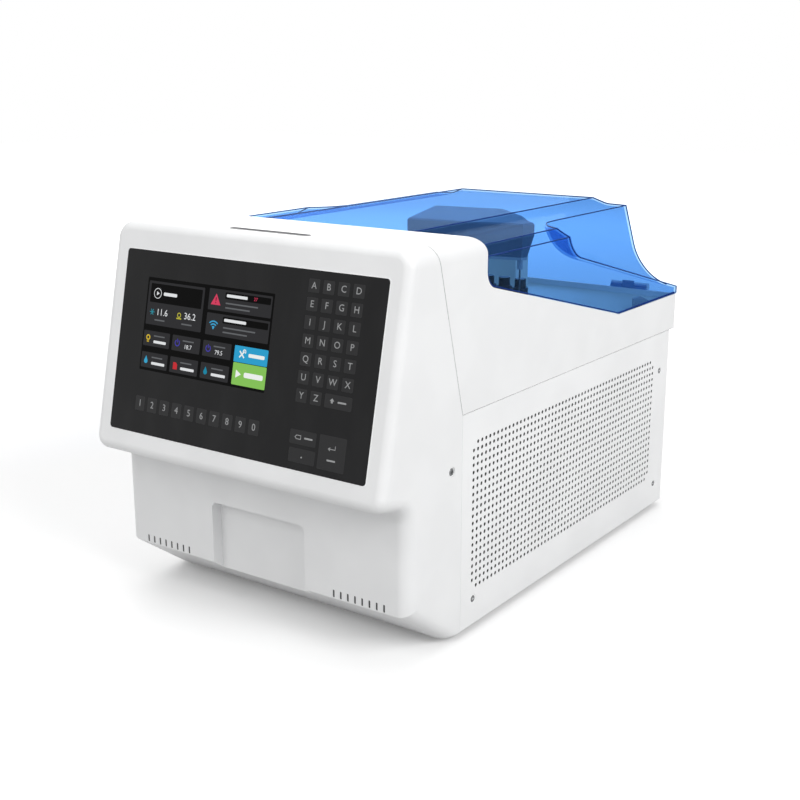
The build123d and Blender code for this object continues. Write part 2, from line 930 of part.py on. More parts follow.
drive_places = [(sample_x, sample_y), (cuvette_x, cuvette_y)]
with BuildPart() as spindle_bearings:
    with BuildSketch(Plane.XY.offset(base_z + well_floor)):
        with Locations(drive_places):
            Circle(bearing_radius)
            Circle(spindle_radius + running_gap, mode=Mode.SUBTRACT)
    extrude(amount=bearing_height)
save(spindle_bearings, "spindle_bearings")

with BuildPart() as disk_motors:
    with BuildSketch(Plane.XY.offset(well_under)):
        with Locations(drive_places):
            RectangleRounded(motor_size, motor_size, motor_radius)
            Circle(spindle_radius + running_gap, mode=Mode.SUBTRACT)
    extrude(amount=-motor_height)
save(disk_motors, "disk_motors")


def spindle(x, y, top):
    """A drive shaft from the motor up into the hub."""
    with BuildPart() as shaft:
        with BuildSketch(Plane.XY.offset(base_z + spindle_foot)):
            with Locations((x, y)):
                Circle(spindle_radius)
        extrude(amount=top - base_z - spindle_foot)
    return shaft


sample_spindle = spindle(sample_x, sample_y, base_z + drum_top - sheet)
save(sample_spindle, "sample_spindle")
cuvette_spindle = spindle(cuvette_x, cuvette_y, base_z + rotor_top - sheet)
save(cuvette_spindle, "cuvette_spindle")

# Sample drum, its cups and reagent bottles
with BuildPart() as sample_drum:
    with BuildSketch(Plane.XY.offset(base_z + drum_foot)):
        with Locations((sample_x, sample_y)):
            Circle(drum_radius)
    extrude(amount=drum_top - drum_foot)
    with BuildSketch(Plane.XY.offset(base_z + drum_foot)):
        with Locations((sample_x, sample_y)):
            with PolarLocations(cup_ring, cup_count, start_angle=cup_angle):
                Circle(cup_bore)
            Circle(spindle_radius)
    extrude(amount=drum_top - drum_foot, mode=Mode.SUBTRACT)
    with BuildSketch(Plane.XY.offset(base_z + drum_foot + bottle_foot_rise)):
        with Locations((sample_x, sample_y)):
            with PolarLocations(bottle_ring, bottle_count):
                Circle(bottle_radius + fit_gap)
    extrude(amount=drum_top - drum_foot, mode=Mode.SUBTRACT)
    with BuildSketch(Plane.XY.offset(base_z + drum_top)):
        with Locations((sample_x, sample_y)):
            Circle(hub_radius)
    extrude(amount=sheet)
save(sample_drum, "sample_drum")


def turned(section):
    """A piece turned about Z from its half section."""
    with BuildPart() as piece:
        with BuildSketch(Plane.XZ):
            with BuildLine():
                Polyline(*section, close=True)
            make_face()
        revolve(axis=Axis.Z)
    return piece.part


drum_z = base_z + drum_top
one_cup = turned(
    [
        (0, drum_z - cup_depth + cup_flange),
        (0, drum_z - cup_depth),
        (cup_radius, drum_z - cup_depth),
        (cup_radius, drum_z),
        (cup_radius + cup_flange, drum_z),
        (cup_radius + cup_flange, drum_z + cup_rise),
        (cup_radius - cup_wall, drum_z + cup_rise),
        (cup_radius - cup_wall, drum_z - cup_depth + cup_flange),
    ]
)
with BuildPart() as sample_cups:
    with Locations((sample_x, sample_y)):
        with PolarLocations(cup_ring, cup_count, start_angle=cup_angle):
            add(one_cup)
save(sample_cups, "sample_cups")

bottle_foot = base_z + drum_foot + bottle_foot_rise
one_bottle = turned(
    [
        (0, bottle_foot + bottle_wall),
        (0, bottle_foot),
        (bottle_radius, bottle_foot),
        (bottle_radius, base_z + bottle_shoulder),
        (bottle_neck_radius, base_z + bottle_shoulder + bottle_wall),
        (bottle_neck_radius, base_z + bottle_top),
        (bottle_neck_radius - bottle_wall, base_z + bottle_top),
        (bottle_neck_radius - bottle_wall, base_z + bottle_shoulder),
        (bottle_radius - bottle_wall, base_z + bottle_shoulder - bottle_wall),
        (bottle_radius - bottle_wall, bottle_foot + bottle_wall),
    ]
)
with BuildPart() as reagent_bottles:
    with Locations((sample_x, sample_y)):
        with PolarLocations(bottle_ring, bottle_count):
            add(one_bottle)
save(reagent_bottles, "reagent_bottles")

# Cuvette rotor with a ring of square reaction cells
with BuildPart() as cuvette_rotor:
    with BuildSketch(Plane.XY.offset(base_z + rotor_top - rotor_thickness)):
        with Locations((cuvette_x, cuvette_y)):
            Circle(rotor_radius)
            Circle(spindle_radius, mode=Mode.SUBTRACT)
            with PolarLocations(cuvette_ring, cuvette_count, start_angle=cuvette_angle):
                Rectangle(
                    cuvette_size + 2 * fit_gap, cuvette_size + 2 * fit_gap, mode=Mode.SUBTRACT
                )
    extrude(amount=rotor_thickness)
    with BuildSketch(Plane.XY.offset(base_z + rotor_top)):
        with Locations((cuvette_x, cuvette_y)):
            Circle(2 * hub_radius)
    extrude(amount=sheet)
save(cuvette_rotor, "cuvette_rotor")

rotor_z = base_z + rotor_top
with BuildPart() as one_cuvette:
    with BuildSketch(Plane.XY.offset(rotor_z - cuvette_depth)):
        Rectangle(cuvette_size, cuvette_size)
    extrude(amount=cuvette_depth)
    with BuildSketch(Plane.XY.offset(rotor_z)):
        Rectangle(cuvette_size + 2 * cuvette_lip, cuvette_size + 2 * cuvette_lip)
    extrude(amount=cuvette_lip)
    with BuildSketch(Plane.XY.offset(rotor_z - cuvette_depth + cuvette_wall)):
        Rectangle(cuvette_size - 2 * cuvette_wall, cuvette_size - 2 * cuvette_wall)
    extrude(amount=cuvette_depth + cuvette_lip, mode=Mode.SUBTRACT)

with BuildPart() as cuvettes:
    with Locations((cuvette_x, cuvette_y)):
        with PolarLocations(cuvette_ring, cuvette_count, start_angle=cuvette_angle):
            add(one_cuvette.part)
save(cuvettes, "cuvettes")

# Optics under the deck, in front of the incubator
optics_y = cuvette_y - cuvette_well_radius - well_wall - fit_gap - photometer_depth / 2
with BuildPart() as photometer:
    with BuildSketch(Plane.XY.offset(deck_under)):
        with Locations((cuvette_x, optics_y)):
            RectangleRounded(photometer_width, photometer_depth, photometer_radius)
    extrude(amount=-photometer_height)
    with BuildSketch(Plane.XY.offset(deck_under - photometer_height)):
        with Locations((cuvette_x, optics_y)):
            Circle(lens_radius)
    extrude(amount=-lens_height)

    lamp_x = cuvette_x + photometer_width / 2 + lamp_gap + lamp_width / 2
    with BuildSketch(Plane.XY.offset(deck_under)):
        with Locations((lamp_x, optics_y)):
            RectangleRounded(lamp_width, photometer_depth, photometer_radius)
    extrude(amount=-photometer_height)
    fin_step = lamp_width / lamp_fin_count
    with BuildSketch(Plane.XY.offset(deck_under - photometer_height)):
        with Locations((lamp_x, optics_y)):
            with GridLocations(fin_step, 1, lamp_fin_count, 1):
                Rectangle(fin_step / 2, photometer_depth)
    extrude(amount=lamp_fin_depth, mode=Mode.SUBTRACT)
save(photometer, "photometer")

with BuildPart() as wash_well:
    with BuildSketch(Plane.XY.offset(base_z + wash_foot)):
        with Locations((wash_x, wash_y)):
            Circle(wash_radius)
    extrude(amount=wash_height - wash_foot)
    with BuildSketch(Plane.XY.offset(base_z + wash_foot + sheet)):
        with Locations((wash_x, wash_y)):
            Circle(wash_bore)
    extrude(amount=wash_height - wash_foot, mode=Mode.SUBTRACT)
save(wash_well, "wash_well")

# Sampling arm: guide, mast, lift, arm plate, cover and needle
with BuildPart() as mast_guide:
    with BuildSketch(Plane.XY.offset(base_z + guide_foot)):
        with Locations((mast_x, mast_y)):
            Circle(guide_radius)
    extrude(amount=guide_top - guide_foot)
    with BuildSketch(Plane.XY.offset(deck_under)):
        with Locations((mast_x, mast_y)):
            Circle(guide_flange_radius)
    extrude(amount=-guide_flange)
    with BuildSketch(Plane.XY.offset(base_z + guide_foot)):
        with Locations((mast_x, mast_y)):
            Circle(mast_radius + running_gap)
    extrude(amount=guide_top - guide_foot, mode=Mode.SUBTRACT)
save(mast_guide, "mast_guide")

with BuildPart() as mast_shaft:
    with BuildSketch(Plane.XY.offset(base_z + mast_foot)):
        with Locations((mast_x, mast_y)):
            Circle(mast_radius)
    extrude(amount=mast_top - mast_foot)
    chamfer(mast_shaft.faces().sort_by(Axis.Z)[-1].edges(), mast_bevel)
    with BuildSketch(Plane.XY.offset(base_z + mast_foot + lift_bracket_height)):
        with Locations((mast_x, mast_y)):
            Circle(mast_radius + wall)
    extrude(amount=wall)
save(mast_shaft, "mast_shaft")

lift_x = mast_x - lift_offset
with BuildPart() as lift_bracket:
    bracket_plan = two_ended(
        (mast_x, mast_y),
        mast_radius + lift_bracket_wall,
        (lift_x, mast_y),
        lift_rod_radius + lift_bracket_wall,
    )
    extrude(Plane.XY.offset(base_z + mast_foot) * bracket_plan, amount=lift_bracket_height)
    with BuildSketch(Plane.XY.offset(base_z + mast_foot)):
        with Locations((mast_x, mast_y)):
            Circle(mast_radius + running_gap)
    extrude(amount=lift_bracket_height, mode=Mode.SUBTRACT)
    with BuildSketch(Plane.XY.offset(base_z + mast_foot + lift_bracket_height)):
        with Locations((lift_x, mast_y)):
            Circle(lift_rod_radius)
    extrude(amount=lift_rod_top - mast_foot - lift_bracket_height)
save(lift_bracket, "lift_bracket")

with BuildPart() as lift_actuator:
    with BuildSketch(Plane.XY.offset(base_z + lift_body_foot)):
        with Locations((lift_x, mast_y)):
            RectangleRounded(lift_body, lift_body, lift_body_radius)
            Circle(lift_rod_radius + running_gap, mode=Mode.SUBTRACT)
    extrude(amount=deck_under - base_z - lift_body_foot)
save(lift_actuator, "lift_actuator")


arm_flank = (
    (arm_length + arm_tip, arm_tip_half),
    (arm_length - arm_nose, arm_nose_half),
    (arm_length - arm_cheek, arm_cheek_half),
    (arm_shoulder, arm_half),
)


def arm_plan(shrink):
    """The arm from above: wide at the mast, cut askew behind it, and narrowing to the needle."""
    with BuildSketch() as plan:
        with Locations(Location((mast_x, mast_y), arm_rest_angle)):
            Polygon(
                *arm_flank, (-arm_tail, arm_tail_side), *((x, -y) for x, y in arm_flank[::-1]), align=None
            )
        if shrink:
            offset(amount=-shrink, kind=Kind.INTERSECTION)
    return plan.sketch


arm_band_z = base_z + arm_top - arm_band
arm_foot_z = base_z + arm_floor + arm_plate


def arm_hood(shrink, top):
    """The hood's form: an upright band over sides that lean in to its foot."""
    with BuildPart() as hood:
        extrude(Plane.XY.offset(arm_band_z) * arm_plan(shrink), amount=top - arm_band_z)
        loft(
            [Plane.XY.offset(arm_band_z) * arm_plan(shrink),
             Plane.XY.offset(arm_foot_z) * arm_plan(shrink + arm_lean)],
            ruled=True,
        )
    return hood.part


with BuildPart() as arm_cover:
    add(arm_hood(0, base_z + arm_top))
    chamfer(arm_cover.faces().sort_by(Axis.Z)[-1].edges(), arm_edge)
    add(arm_hood(arm_shell, base_z + arm_top - arm_shell), mode=Mode.SUBTRACT)
save(arm_cover, "arm_cover")

with BuildPart() as arm_base:
    extrude(Plane.XY.offset(base_z + arm_floor) * arm_plan(arm_lean), amount=arm_plate)
    with BuildSketch(Plane.XY.offset(base_z + arm_floor - arm_socket_drop)):
        with Locations((mast_x, mast_y)):
            Circle(arm_socket_radius)
    extrude(amount=arm_socket_drop + arm_plate + arm_socket_drop)
    with BuildSketch(Plane.XY.offset(base_z + arm_floor - arm_socket_drop)):
        with Locations((needle_x, needle_y)):
            Circle(needle_grip_radius)
    extrude(amount=arm_socket_drop + arm_plate + needle_grip_radius)
    with BuildSketch(Plane.XY.offset(base_z + arm_floor - arm_socket_drop)):
        with Locations((mast_x, mast_y)):
            Circle(mast_radius)
        with Locations((needle_x, needle_y)):
            Circle(needle_radius)
    extrude(amount=arm_top - arm_floor, mode=Mode.SUBTRACT)
save(arm_base, "arm_base")

with BuildPart() as probe_needle:
    with BuildSketch(Plane.XY.offset(base_z + needle_tip)):
        with Locations((needle_x, needle_y)):
            Circle(needle_radius)
    extrude(amount=needle_top - needle_tip)
    chamfer(probe_needle.faces().sort_by(Axis.Z)[0].edges(), needle_bevel)
save(probe_needle, "probe_needle")

# Fluid tower, detergent bottles and lid brackets at the back of the bay
with BuildPart() as fluid_tower:
    tower_y = lid_back_y - tower_setback - tower_depth / 2
    with BuildSketch(Plane.XY.offset(deck_top)):
        with Locations((tower_x, tower_y)):
            Rectangle(tower_width, tower_depth)
    extrude(amount=tower_height)
    fillet(fluid_tower.edges().filter_by(Axis.Z), tower_radius)
    with BuildSketch(Plane.XY.offset(deck_top)):
        with Locations((tower_x, tower_y)):
            Rectangle(tower_width - 2 * sheet, tower_depth - 2 * sheet)
    extrude(amount=tower_height - sheet, mode=Mode.SUBTRACT)
save(fluid_tower, "fluid_tower")

with BuildPart() as detergent_bottles:
    detergent_y = mast_y + detergent_lead
    detergent_places = [
        (detergent_x + detergent_pitch * (n - (detergent_count - 1) / 2), detergent_y)
        for n in range(detergent_count)
    ]
    with BuildSketch(Plane.XY.offset(deck_top)):
        with Locations(detergent_places):
            Circle(detergent_radius)
    extrude(amount=detergent_height)
    with BuildSketch(Plane.XY.offset(deck_top + detergent_height)):
        with Locations(detergent_places):
            Circle(detergent_cap_radius)
    extrude(amount=detergent_cap_height)
save(detergent_bottles, "detergent_bottles")

with BuildPart() as stay_brackets:
    bracket_y = bay_back_y - bracket_setback
    bracket_x = inner_half - fit_gap - bracket_inset
    for side in (-1, 1):
        with BuildSketch(Plane.YZ.offset(side * bracket_x)):
            with BuildLine():
                Polyline(
                    (bracket_y - bracket_length / 2, deck_top),
                    (bracket_y - bracket_length / 2, deck_top + bracket_height),
                    (bracket_y - bracket_length / 2 + bracket_top, deck_top + bracket_height),
                    (bracket_y + bracket_length / 2, deck_top + sheet),
                    (bracket_y + bracket_length / 2, deck_top),
                    close=True,
                )
            make_face()
        extrude(amount=side * sheet)
        with BuildSketch(Plane.XY.offset(deck_top)):
            with Locations((side * (bracket_x + bracket_inset / 2), bracket_y)):
                Rectangle(bracket_inset, bracket_length)
        extrude(amount=sheet)
save(stay_brackets, "stay_brackets")

# Lid: thin moulded cover with a raised crown and scooped back corners
crown_z = base_z + lid_top
lid_high = crown_z + bay_clear
lid_low = base_z + rail_low - bay_clear
lid_front_y = bay_y + lid_gap
crest_y = lid_back_y - crest_inset
back_lean = crest_inset / (lid_top - skirt_height)
scoop_y = bay_y + scoop_setback
skirt_z = base_z + skirt_height


def scoop(inset):
    """The space cut out of the lid's right back corner, grown by the lid's thickness inside."""
    floor_plane = Plane(
        origin=(0, lid_back_y, skirt_z - inset / cos(radians(skirt_slope))),
        x_dir=(1, 0, 0),
        z_dir=(0, sin(radians(skirt_slope)), cos(radians(skirt_slope))),
    )
    outer_x = half + bay_clear
    with BuildPart() as cut:
        with BuildSketch(Plane.XY.offset(lid_low)) as plan:
            with Locations((ridge_half_width - inset, scoop_y - inset)):
                Rectangle(
                    outer_x - ridge_half_width + inset,
                    lid_back_y - scoop_y + bay_clear,
                    align=(Align.MIN, Align.MIN),
                )
            inner_corner = plan.vertices().sort_by_distance((0, scoop_y))[0]
            fillet(inner_corner, scoop_radius + inset)
        extrude(amount=lid_high - lid_low)
        split(bisect_by=floor_plane, keep=Keep.TOP)
        floor = cut.faces().filter_by(floor_plane).sort_by(Axis.Z)[0]
        inner_edges = floor.edges().filter_by_position(Axis.X, 0, outer_x - overcut)
        rim = inner_edges.filter_by_position(Axis.Y, front_y, lid_back_y + bay_clear / 2)
        fillet(rim, scoop_fillet + inset)
    return cut.part


def lid_form(inset):
    """The lid as a solid block, shrunk by inset."""
    with BuildPart() as form:
        with BuildSketch(Plane.XZ) as section:
            with BuildLine() as line:
                Polyline(
                    (0, lid_low),
                    (half, lid_low),
                    (half, base_z + eaves_height),
                    (shoulder_half_width, base_z + shoulder_height),
                    (knee_half_width, base_z + knee_height),
                    (crown_half_width, crown_z),
                    (0, crown_z),
                )
                mirror(line.line, about=Plane.YZ)
            make_face()
            for side in (-1, 1):
                knee = section.vertices().sort_by_distance(
                    (side * knee_half_width, base_z + knee_height)
                )[0]
                fillet(knee, knee_radius)
            if inset:
                offset(amount=-inset, kind=Kind.INTERSECTION)
        extrude(amount=case_depth, both=True)
        with BuildSketch(Plane.YZ):
            with BuildLine():
                Polyline(
                    (lid_front_y - 4 * inset, lid_low - bay_clear),
                    (lid_front_y - 4 * inset, lid_high),
                    (crest_y - (lid_high - crown_z) * back_lean, lid_high),
                    (lid_back_y, skirt_z),
                    (lid_back_y, lid_low - bay_clear),
                    close=True,
                )
            make_face()
            if inset:
                offset(amount=-inset, kind=Kind.INTERSECTION)
        extrude(amount=half, both=True, mode=Mode.INTERSECT)
        right = scoop(inset)
        add(right, mode=Mode.SUBTRACT)
        add(mirror(right, about=Plane.YZ, mode=Mode.PRIVATE), mode=Mode.SUBTRACT)
    return form.part


with BuildPart() as lid:
    add(lid_form(0))
    add(lid_form(lid_thickness), mode=Mode.SUBTRACT)
    below_lid = shell_profile(lid_gap, lid_low - bay_clear)
    extrude(below_lid, amount=case_width, both=True, mode=Mode.SUBTRACT)
save(lid, "lid")

# Lid hinges behind the shell: outer knuckles and leaf fixed, middle knuckle on the lid
hinge_y = shell_back_y + lid_gap + hinge_radius
hinge_z = base_z + rail_low + hinge_radius / 2
knuckle_length = hinge_length / 3


def knuckles(centres, length):
    """Hinge barrels along X about the lid's axis."""
    with BuildPart() as barrels:
        for centre in centres:
            with BuildSketch(Plane.YZ.offset(centre - length / 2)):
                with Locations((hinge_y, hinge_z)):
                    Circle(hinge_radius)
            extrude(amount=length)
    return barrels.part


outer_centres = [
    x + side * knuckle_length
    for x in (-hinge_half_spacing, hinge_half_spacing)
    for side in (-1, 1)
]
middle_centres = [-hinge_half_spacing, hinge_half_spacing]
shelf_z = base_z + rail_low + lid_gap
with BuildPart() as hinge_leaves_fixed:
    add(knuckles(outer_centres, knuckle_length))
    with BuildSketch(Plane.XZ.offset(-shell_back_y)):
        for centre in middle_centres:
            with Locations((centre, hinge_z - hinge_radius - lid_gap)):
                Rectangle(hinge_length, hinge_leaf_height, align=(Align.CENTER, Align.MAX))
        for centre in outer_centres:
            with Locations((centre, hinge_z)):
                Rectangle(knuckle_length, hinge_leaf_height, align=(Align.CENTER, Align.MAX))
    extrude(amount=-hinge_leaf)
    for centre in middle_centres:
        with BuildSketch(Plane.YZ.offset(centre)):
            with Locations((hinge_y, hinge_z)):
                Circle(hinge_pin_radius)
        extrude(amount=hinge_length / 2, both=True)
save(hinge_leaves_fixed, "hinge_leaves_fixed")

with BuildPart() as hinge_leaves_lid:
    add(knuckles(middle_centres, knuckle_length - lid_gap))
    with BuildSketch(Plane.XZ.offset(-lid_back_y)):
        for centre in middle_centres:
            with Locations((centre, shelf_z)):
                Rectangle(
                    knuckle_length - lid_gap, skirt_z - shelf_z, align=(Align.CENTER, Align.MIN)
                )
    extrude(amount=-hinge_leaf)
    with BuildSketch(Plane.YZ):
        with Locations((hinge_y, hinge_z)):
            Circle(hinge_pin_radius + running_gap)
    extrude(amount=half, both=True, mode=Mode.SUBTRACT)
save(hinge_leaves_lid, "hinge_leaves_lid")

with BuildPart() as lid_bumpers:
    bumper_y = level_y + bumper_lead
    for side in (-1, 1):
        with BuildSketch(Plane.XY.offset(base_z + rail_low)):
            with Locations((side * (half - wall / 2), bumper_y)):
                Rectangle(lid_thickness - fit_gap, 2 * bumper_width)
        extrude(amount=lid_gap)
save(lid_bumpers, "lid_bumpers")

# Printer in the head: frame, platen and paper roll
slot_y = glass_y + paper_slot_setback
platen_y = slot_y + paper_gap + platen_radius
platen_z = top_z - platen_drop
roll_y = slot_y + roll_setback
roll_z = top_z - wall - roll_drop - roll_radius / 2
cheek_inner = platen_length / 2 + frame_gap
with BuildPart() as printer_frame:
    for side in (-1, 1):
        with BuildSketch(Plane.YZ.offset(side * cheek_inner)):
            with BuildLine():
                Polyline(
                    (slot_y - print_bar - paper_gap, top_z - wall),
                    (roll_y + roll_radius, top_z - wall),
                    (roll_y + roll_radius, roll_z - roll_radius - cradle_thickness),
                    (roll_y - roll_radius, roll_z - roll_radius - cradle_thickness),
                    (slot_y - print_bar - paper_gap, platen_z - frame_foot),
                    close=True,
                )
            make_face()
        extrude(amount=side * cradle_thickness)
    with BuildSketch(Plane.XY.offset(roll_z - roll_radius - cradle_thickness)):
        with Locations((0, roll_y)):
            Rectangle(2 * cheek_inner, 2 * roll_radius)
    extrude(amount=cradle_thickness - paper_gap)
    with BuildSketch(Plane.XY.offset(platen_z)):
        with Locations((0, slot_y - paper_gap)):
            Rectangle(2 * cheek_inner, print_bar, align=(Align.CENTER, Align.MAX))
    extrude(amount=platen_radius, both=True)
    with BuildSketch(Plane.YZ):
        with Locations((roll_y, roll_z)):
            Circle(roll_core - 2 * running_gap)
    extrude(amount=cheek_inner, both=True)
    with BuildSketch(Plane.YZ):
        with Locations((platen_y, platen_z)):
            Circle(platen_radius / 2 + running_gap)
    extrude(amount=cheek_inner + cradle_thickness, both=True, mode=Mode.SUBTRACT)
save(printer_frame, "printer_frame")

with BuildPart() as printer_platen:
    with BuildSketch(Plane.YZ):
        with Locations((platen_y, platen_z)):
            Circle(platen_radius)
    extrude(amount=platen_length / 2, both=True)
    with BuildSketch(Plane.YZ):
        with Locations((platen_y, platen_z)):
            Circle(platen_radius / 2)
    extrude(amount=cheek_inner + cradle_thickness, both=True)
    with BuildSketch(Plane.YZ.offset(cheek_inner + cradle_thickness + fit_gap)):
        with Locations((platen_y, platen_z)):
            Circle(gear_radius)
            Circle(platen_radius / 2, mode=Mode.SUBTRACT)
    extrude(amount=gear_width - fit_gap)
    with BuildSketch(Plane.YZ.offset(cheek_inner)):
        with Locations((platen_y, platen_z)):
            Circle(platen_radius / 2)
    extrude(amount=cradle_thickness + gear_width)
save(printer_platen, "printer_platen")

with BuildPart() as paper_roll:
    with BuildSketch(Plane.YZ):
        with Locations((roll_y, roll_z)):
            Circle(roll_radius)
            Circle(roll_core, mode=Mode.SUBTRACT)
    extrude(amount=roll_length / 2, both=True)
save(paper_roll, "paper_roll")

# Key boards behind the glass, and the control board on standoffs behind the display
board_drop = glass_thickness + display_thickness
with BuildPart() as control_boards:
    with BuildSketch(glass_plane.offset(-glass_thickness)):
        with Locations((keypad_x, glass_height / 2)):
            Rectangle(keypad_width, keypad_height)
        with Locations((display_x, digit_row_t)):
            Rectangle(digit_row_width, digit_row_height)
    extrude(amount=-board_thickness)
    with BuildSketch(glass_plane.offset(-board_drop)):
        with Locations((display_x, display_t)):
            with GridLocations(
                display_width - 2 * display_standoff_inset,
                display_height - 2 * display_standoff_inset,
                2,
                2,
            ):
                Circle(standoff_radius)
    extrude(amount=-standoff_height)
    with BuildSketch(glass_plane.offset(-board_drop - standoff_height)):
        with Locations((display_x, display_t)):
            Rectangle(
                display_width - 2 * control_board_inset, display_height - 2 * control_board_inset
            )
    extrude(amount=-board_thickness)
    with BuildSketch(glass_plane.offset(-board_drop - standoff_height - board_thickness)):
        with Locations((display_x, display_t)):
            with GridLocations(control_chip_step_x, control_chip_step_y, 3, 2):
                Rectangle(control_chip, control_chip)
    extrude(amount=-control_chip_height)
save(control_boards, "control_boards")

# Bulkhead behind the front, with ears that take the cheek screws
with BuildPart() as front_bulkhead:
    bulkhead_y = tray_front_y + sheet
    with BuildSketch(Plane.XZ.offset(-bulkhead_y)):
        with Locations((0, tray_top)):
            Rectangle(
                2 * (tray_half - sheet - fit_gap),
                deck_under - tray_top,
                align=(Align.CENTER, Align.MIN),
            )
        with Locations((0, tray_top + panel_height / 2)):
            SlotOverall(recess_width, ear_height, mode=Mode.SUBTRACT)
    extrude(amount=-sheet)
    for side in (-1, 1):
        with BuildSketch(Plane.YZ.offset(side * inner_half)):
            with Locations((cheek_y - dimple_radius, cheek_z)):
                Rectangle(
                    bulkhead_y + sheet - cheek_y + dimple_radius,
                    ear_height,
                    align=(Align.MIN, Align.CENTER),
                )
        extrude(amount=-side * sheet)
    with BuildSketch(Plane.YZ):
        with Locations((cheek_y, cheek_z)):
            Circle(screw_radius + fit_gap)
    extrude(amount=half, both=True, mode=Mode.SUBTRACT)
save(front_bulkhead, "front_bulkhead")

# Power supply and main board on the tray
supply_x = -(tray_half - sheet - post_size - supply_side_gap - supply_width / 2)
supply_y = tray_back_y - sheet - inlet_depth - supply_back_gap - supply_depth / 2
with BuildPart() as power_supply:
    with BuildSketch(Plane.XY.offset(tray_top)):
        with Locations((supply_x, supply_y)):
            Rectangle(supply_width, supply_depth)
    extrude(amount=supply_height)
    fillet(power_supply.edges().filter_by(Axis.Z), supply_radius)
    with BuildSketch(Plane.XY.offset(tray_top + supply_height)):
        with Locations((supply_x, supply_y)):
            with GridLocations(supply_vent_step, 1, supply_vent_count, 1):
                SlotOverall(supply_vent_length, supply_vent_width, rotation=90)
    extrude(amount=-sheet, mode=Mode.SUBTRACT)
save(power_supply, "power_supply")

board_x = supply_x + (main_board_width - supply_width) / 2
board_front_y = bulkhead_y + sheet + main_board_front_gap
board_back_y = supply_y - supply_depth / 2 - main_board_back_gap
main_board_depth = board_back_y - board_front_y
board_y = (board_front_y + board_back_y) / 2
board_z = tray_top + standoff_height
with BuildPart() as main_board:
    with BuildSketch(Plane.XY.offset(tray_top)):
        with Locations((board_x, board_y)):
            with GridLocations(
                main_board_width - 2 * main_board_hole_inset,
                main_board_depth - 2 * main_board_hole_inset,
                2,
                2,
            ):
                Circle(standoff_radius)
    extrude(amount=standoff_height)
    with BuildSketch(Plane.XY.offset(board_z)):
        with Locations((board_x, board_y)):
            Rectangle(main_board_width, main_board_depth)
    extrude(amount=board_thickness)
    with BuildSketch(Plane.XY.offset(board_z + board_thickness)):
        with Locations((board_x, board_y)):
            with GridLocations(
                (main_board_width - 2 * main_chip_side_inset) / (main_chip_columns - 1),
                (main_board_depth - 2 * main_chip_end_inset) / (main_chip_rows - 1),
                main_chip_columns,
                main_chip_rows,
            ):
                Rectangle(main_chip, main_chip)
    extrude(amount=main_chip_height)
save(main_board, "main_board")

# Syringe pump for sampling
syringe_y = bay_y + syringe_setback
syringe_shelf = tray_top + syringe_stroke + 2 * syringe_base
with BuildPart() as syringe_stand:
    with BuildSketch(Plane.XY.offset(tray_top)):
        with Locations((syringe_x, syringe_y)):
            Rectangle(syringe_block, syringe_block)
    extrude(amount=syringe_base)
    with BuildSketch(Plane.XY.offset(tray_top)):
        with Locations((syringe_x, syringe_y + syringe_block / 2)):
            Rectangle(syringe_block, syringe_base, align=(Align.CENTER, Align.MIN))
    extrude(amount=syringe_shelf + syringe_height - tray_top)
    with BuildSketch(Plane.XY.offset(syringe_shelf)):
        with Locations((syringe_x, syringe_y)):
            Rectangle(syringe_block, syringe_block)
            Circle(plunger_rod_radius + running_gap, mode=Mode.SUBTRACT)
    extrude(amount=-syringe_base)
save(syringe_stand, "syringe_stand")

with BuildPart() as syringe_barrel:
    with BuildSketch(Plane.XY.offset(syringe_shelf)):
        with Locations((syringe_x, syringe_y)):
            Circle(syringe_radius)
    extrude(amount=syringe_height)
    with BuildSketch(Plane.XY.offset(syringe_shelf + syringe_height)):
        with Locations((syringe_x, syringe_y)):
            Circle(fluid_port_radius)
    extrude(amount=fluid_port_length)
    with BuildSketch(Plane.XY.offset(syringe_shelf)):
        with Locations((syringe_x, syringe_y)):
            Circle(syringe_radius - syringe_wall)
    extrude(amount=syringe_height - syringe_wall, mode=Mode.SUBTRACT)
    with BuildSketch(Plane.XY.offset(syringe_shelf)):
        with Locations((syringe_x, syringe_y)):
            Circle(fluid_port_bore)
    extrude(amount=syringe_height + fluid_port_length, mode=Mode.SUBTRACT)
    with BuildSketch(Plane.XY.offset(syringe_shelf + syringe_clip_rise)):
        with Locations((syringe_x, syringe_y + syringe_radius - syringe_wall)):
            Rectangle(
                syringe_radius,
                syringe_block / 2 - syringe_radius + syringe_wall,
                align=(Align.CENTER, Align.MIN),
            )
    extrude(amount=syringe_base)
save(syringe_barrel, "syringe_barrel")

with BuildPart() as syringe_plunger:
    with BuildSketch(Plane.XY.offset(syringe_shelf + fit_gap)):
        with Locations((syringe_x, syringe_y)):
            Circle(syringe_radius - syringe_wall - running_gap)
    extrude(amount=plunger_head_height)
    with BuildSketch(Plane.XY.offset(syringe_shelf + fit_gap)):
        with Locations((syringe_x, syringe_y)):
            Circle(plunger_rod_radius)
    extrude(amount=-fit_gap - syringe_base - syringe_stroke)
save(syringe_plunger, "syringe_plunger")

# Peristaltic wash pump
pump_y = syringe_y
pump_z = tray_top + pump_radius + pump_wall
with BuildPart() as pump_housing:
    with BuildSketch(Plane.XZ.offset(-pump_y)):
        with Locations((pump_x, pump_z)):
            RectangleRounded(
                2 * (pump_radius + pump_wall), 2 * (pump_radius + pump_wall), pump_corner
            )
    extrude(amount=pump_depth / 2, both=True)
    with BuildSketch(Plane.XZ.offset(pump_depth / 2 - pump_y)):
        with Locations((pump_x, pump_z)):
            Circle(pump_radius)
    extrude(amount=pump_wall - pump_depth, mode=Mode.SUBTRACT)
    with BuildSketch(Plane.XZ.offset(-pump_y)):
        with Locations((pump_x, pump_z)):
            Circle(pump_roller_radius + running_gap)
    extrude(amount=pump_depth, both=True, mode=Mode.SUBTRACT)
save(pump_housing, "pump_housing")

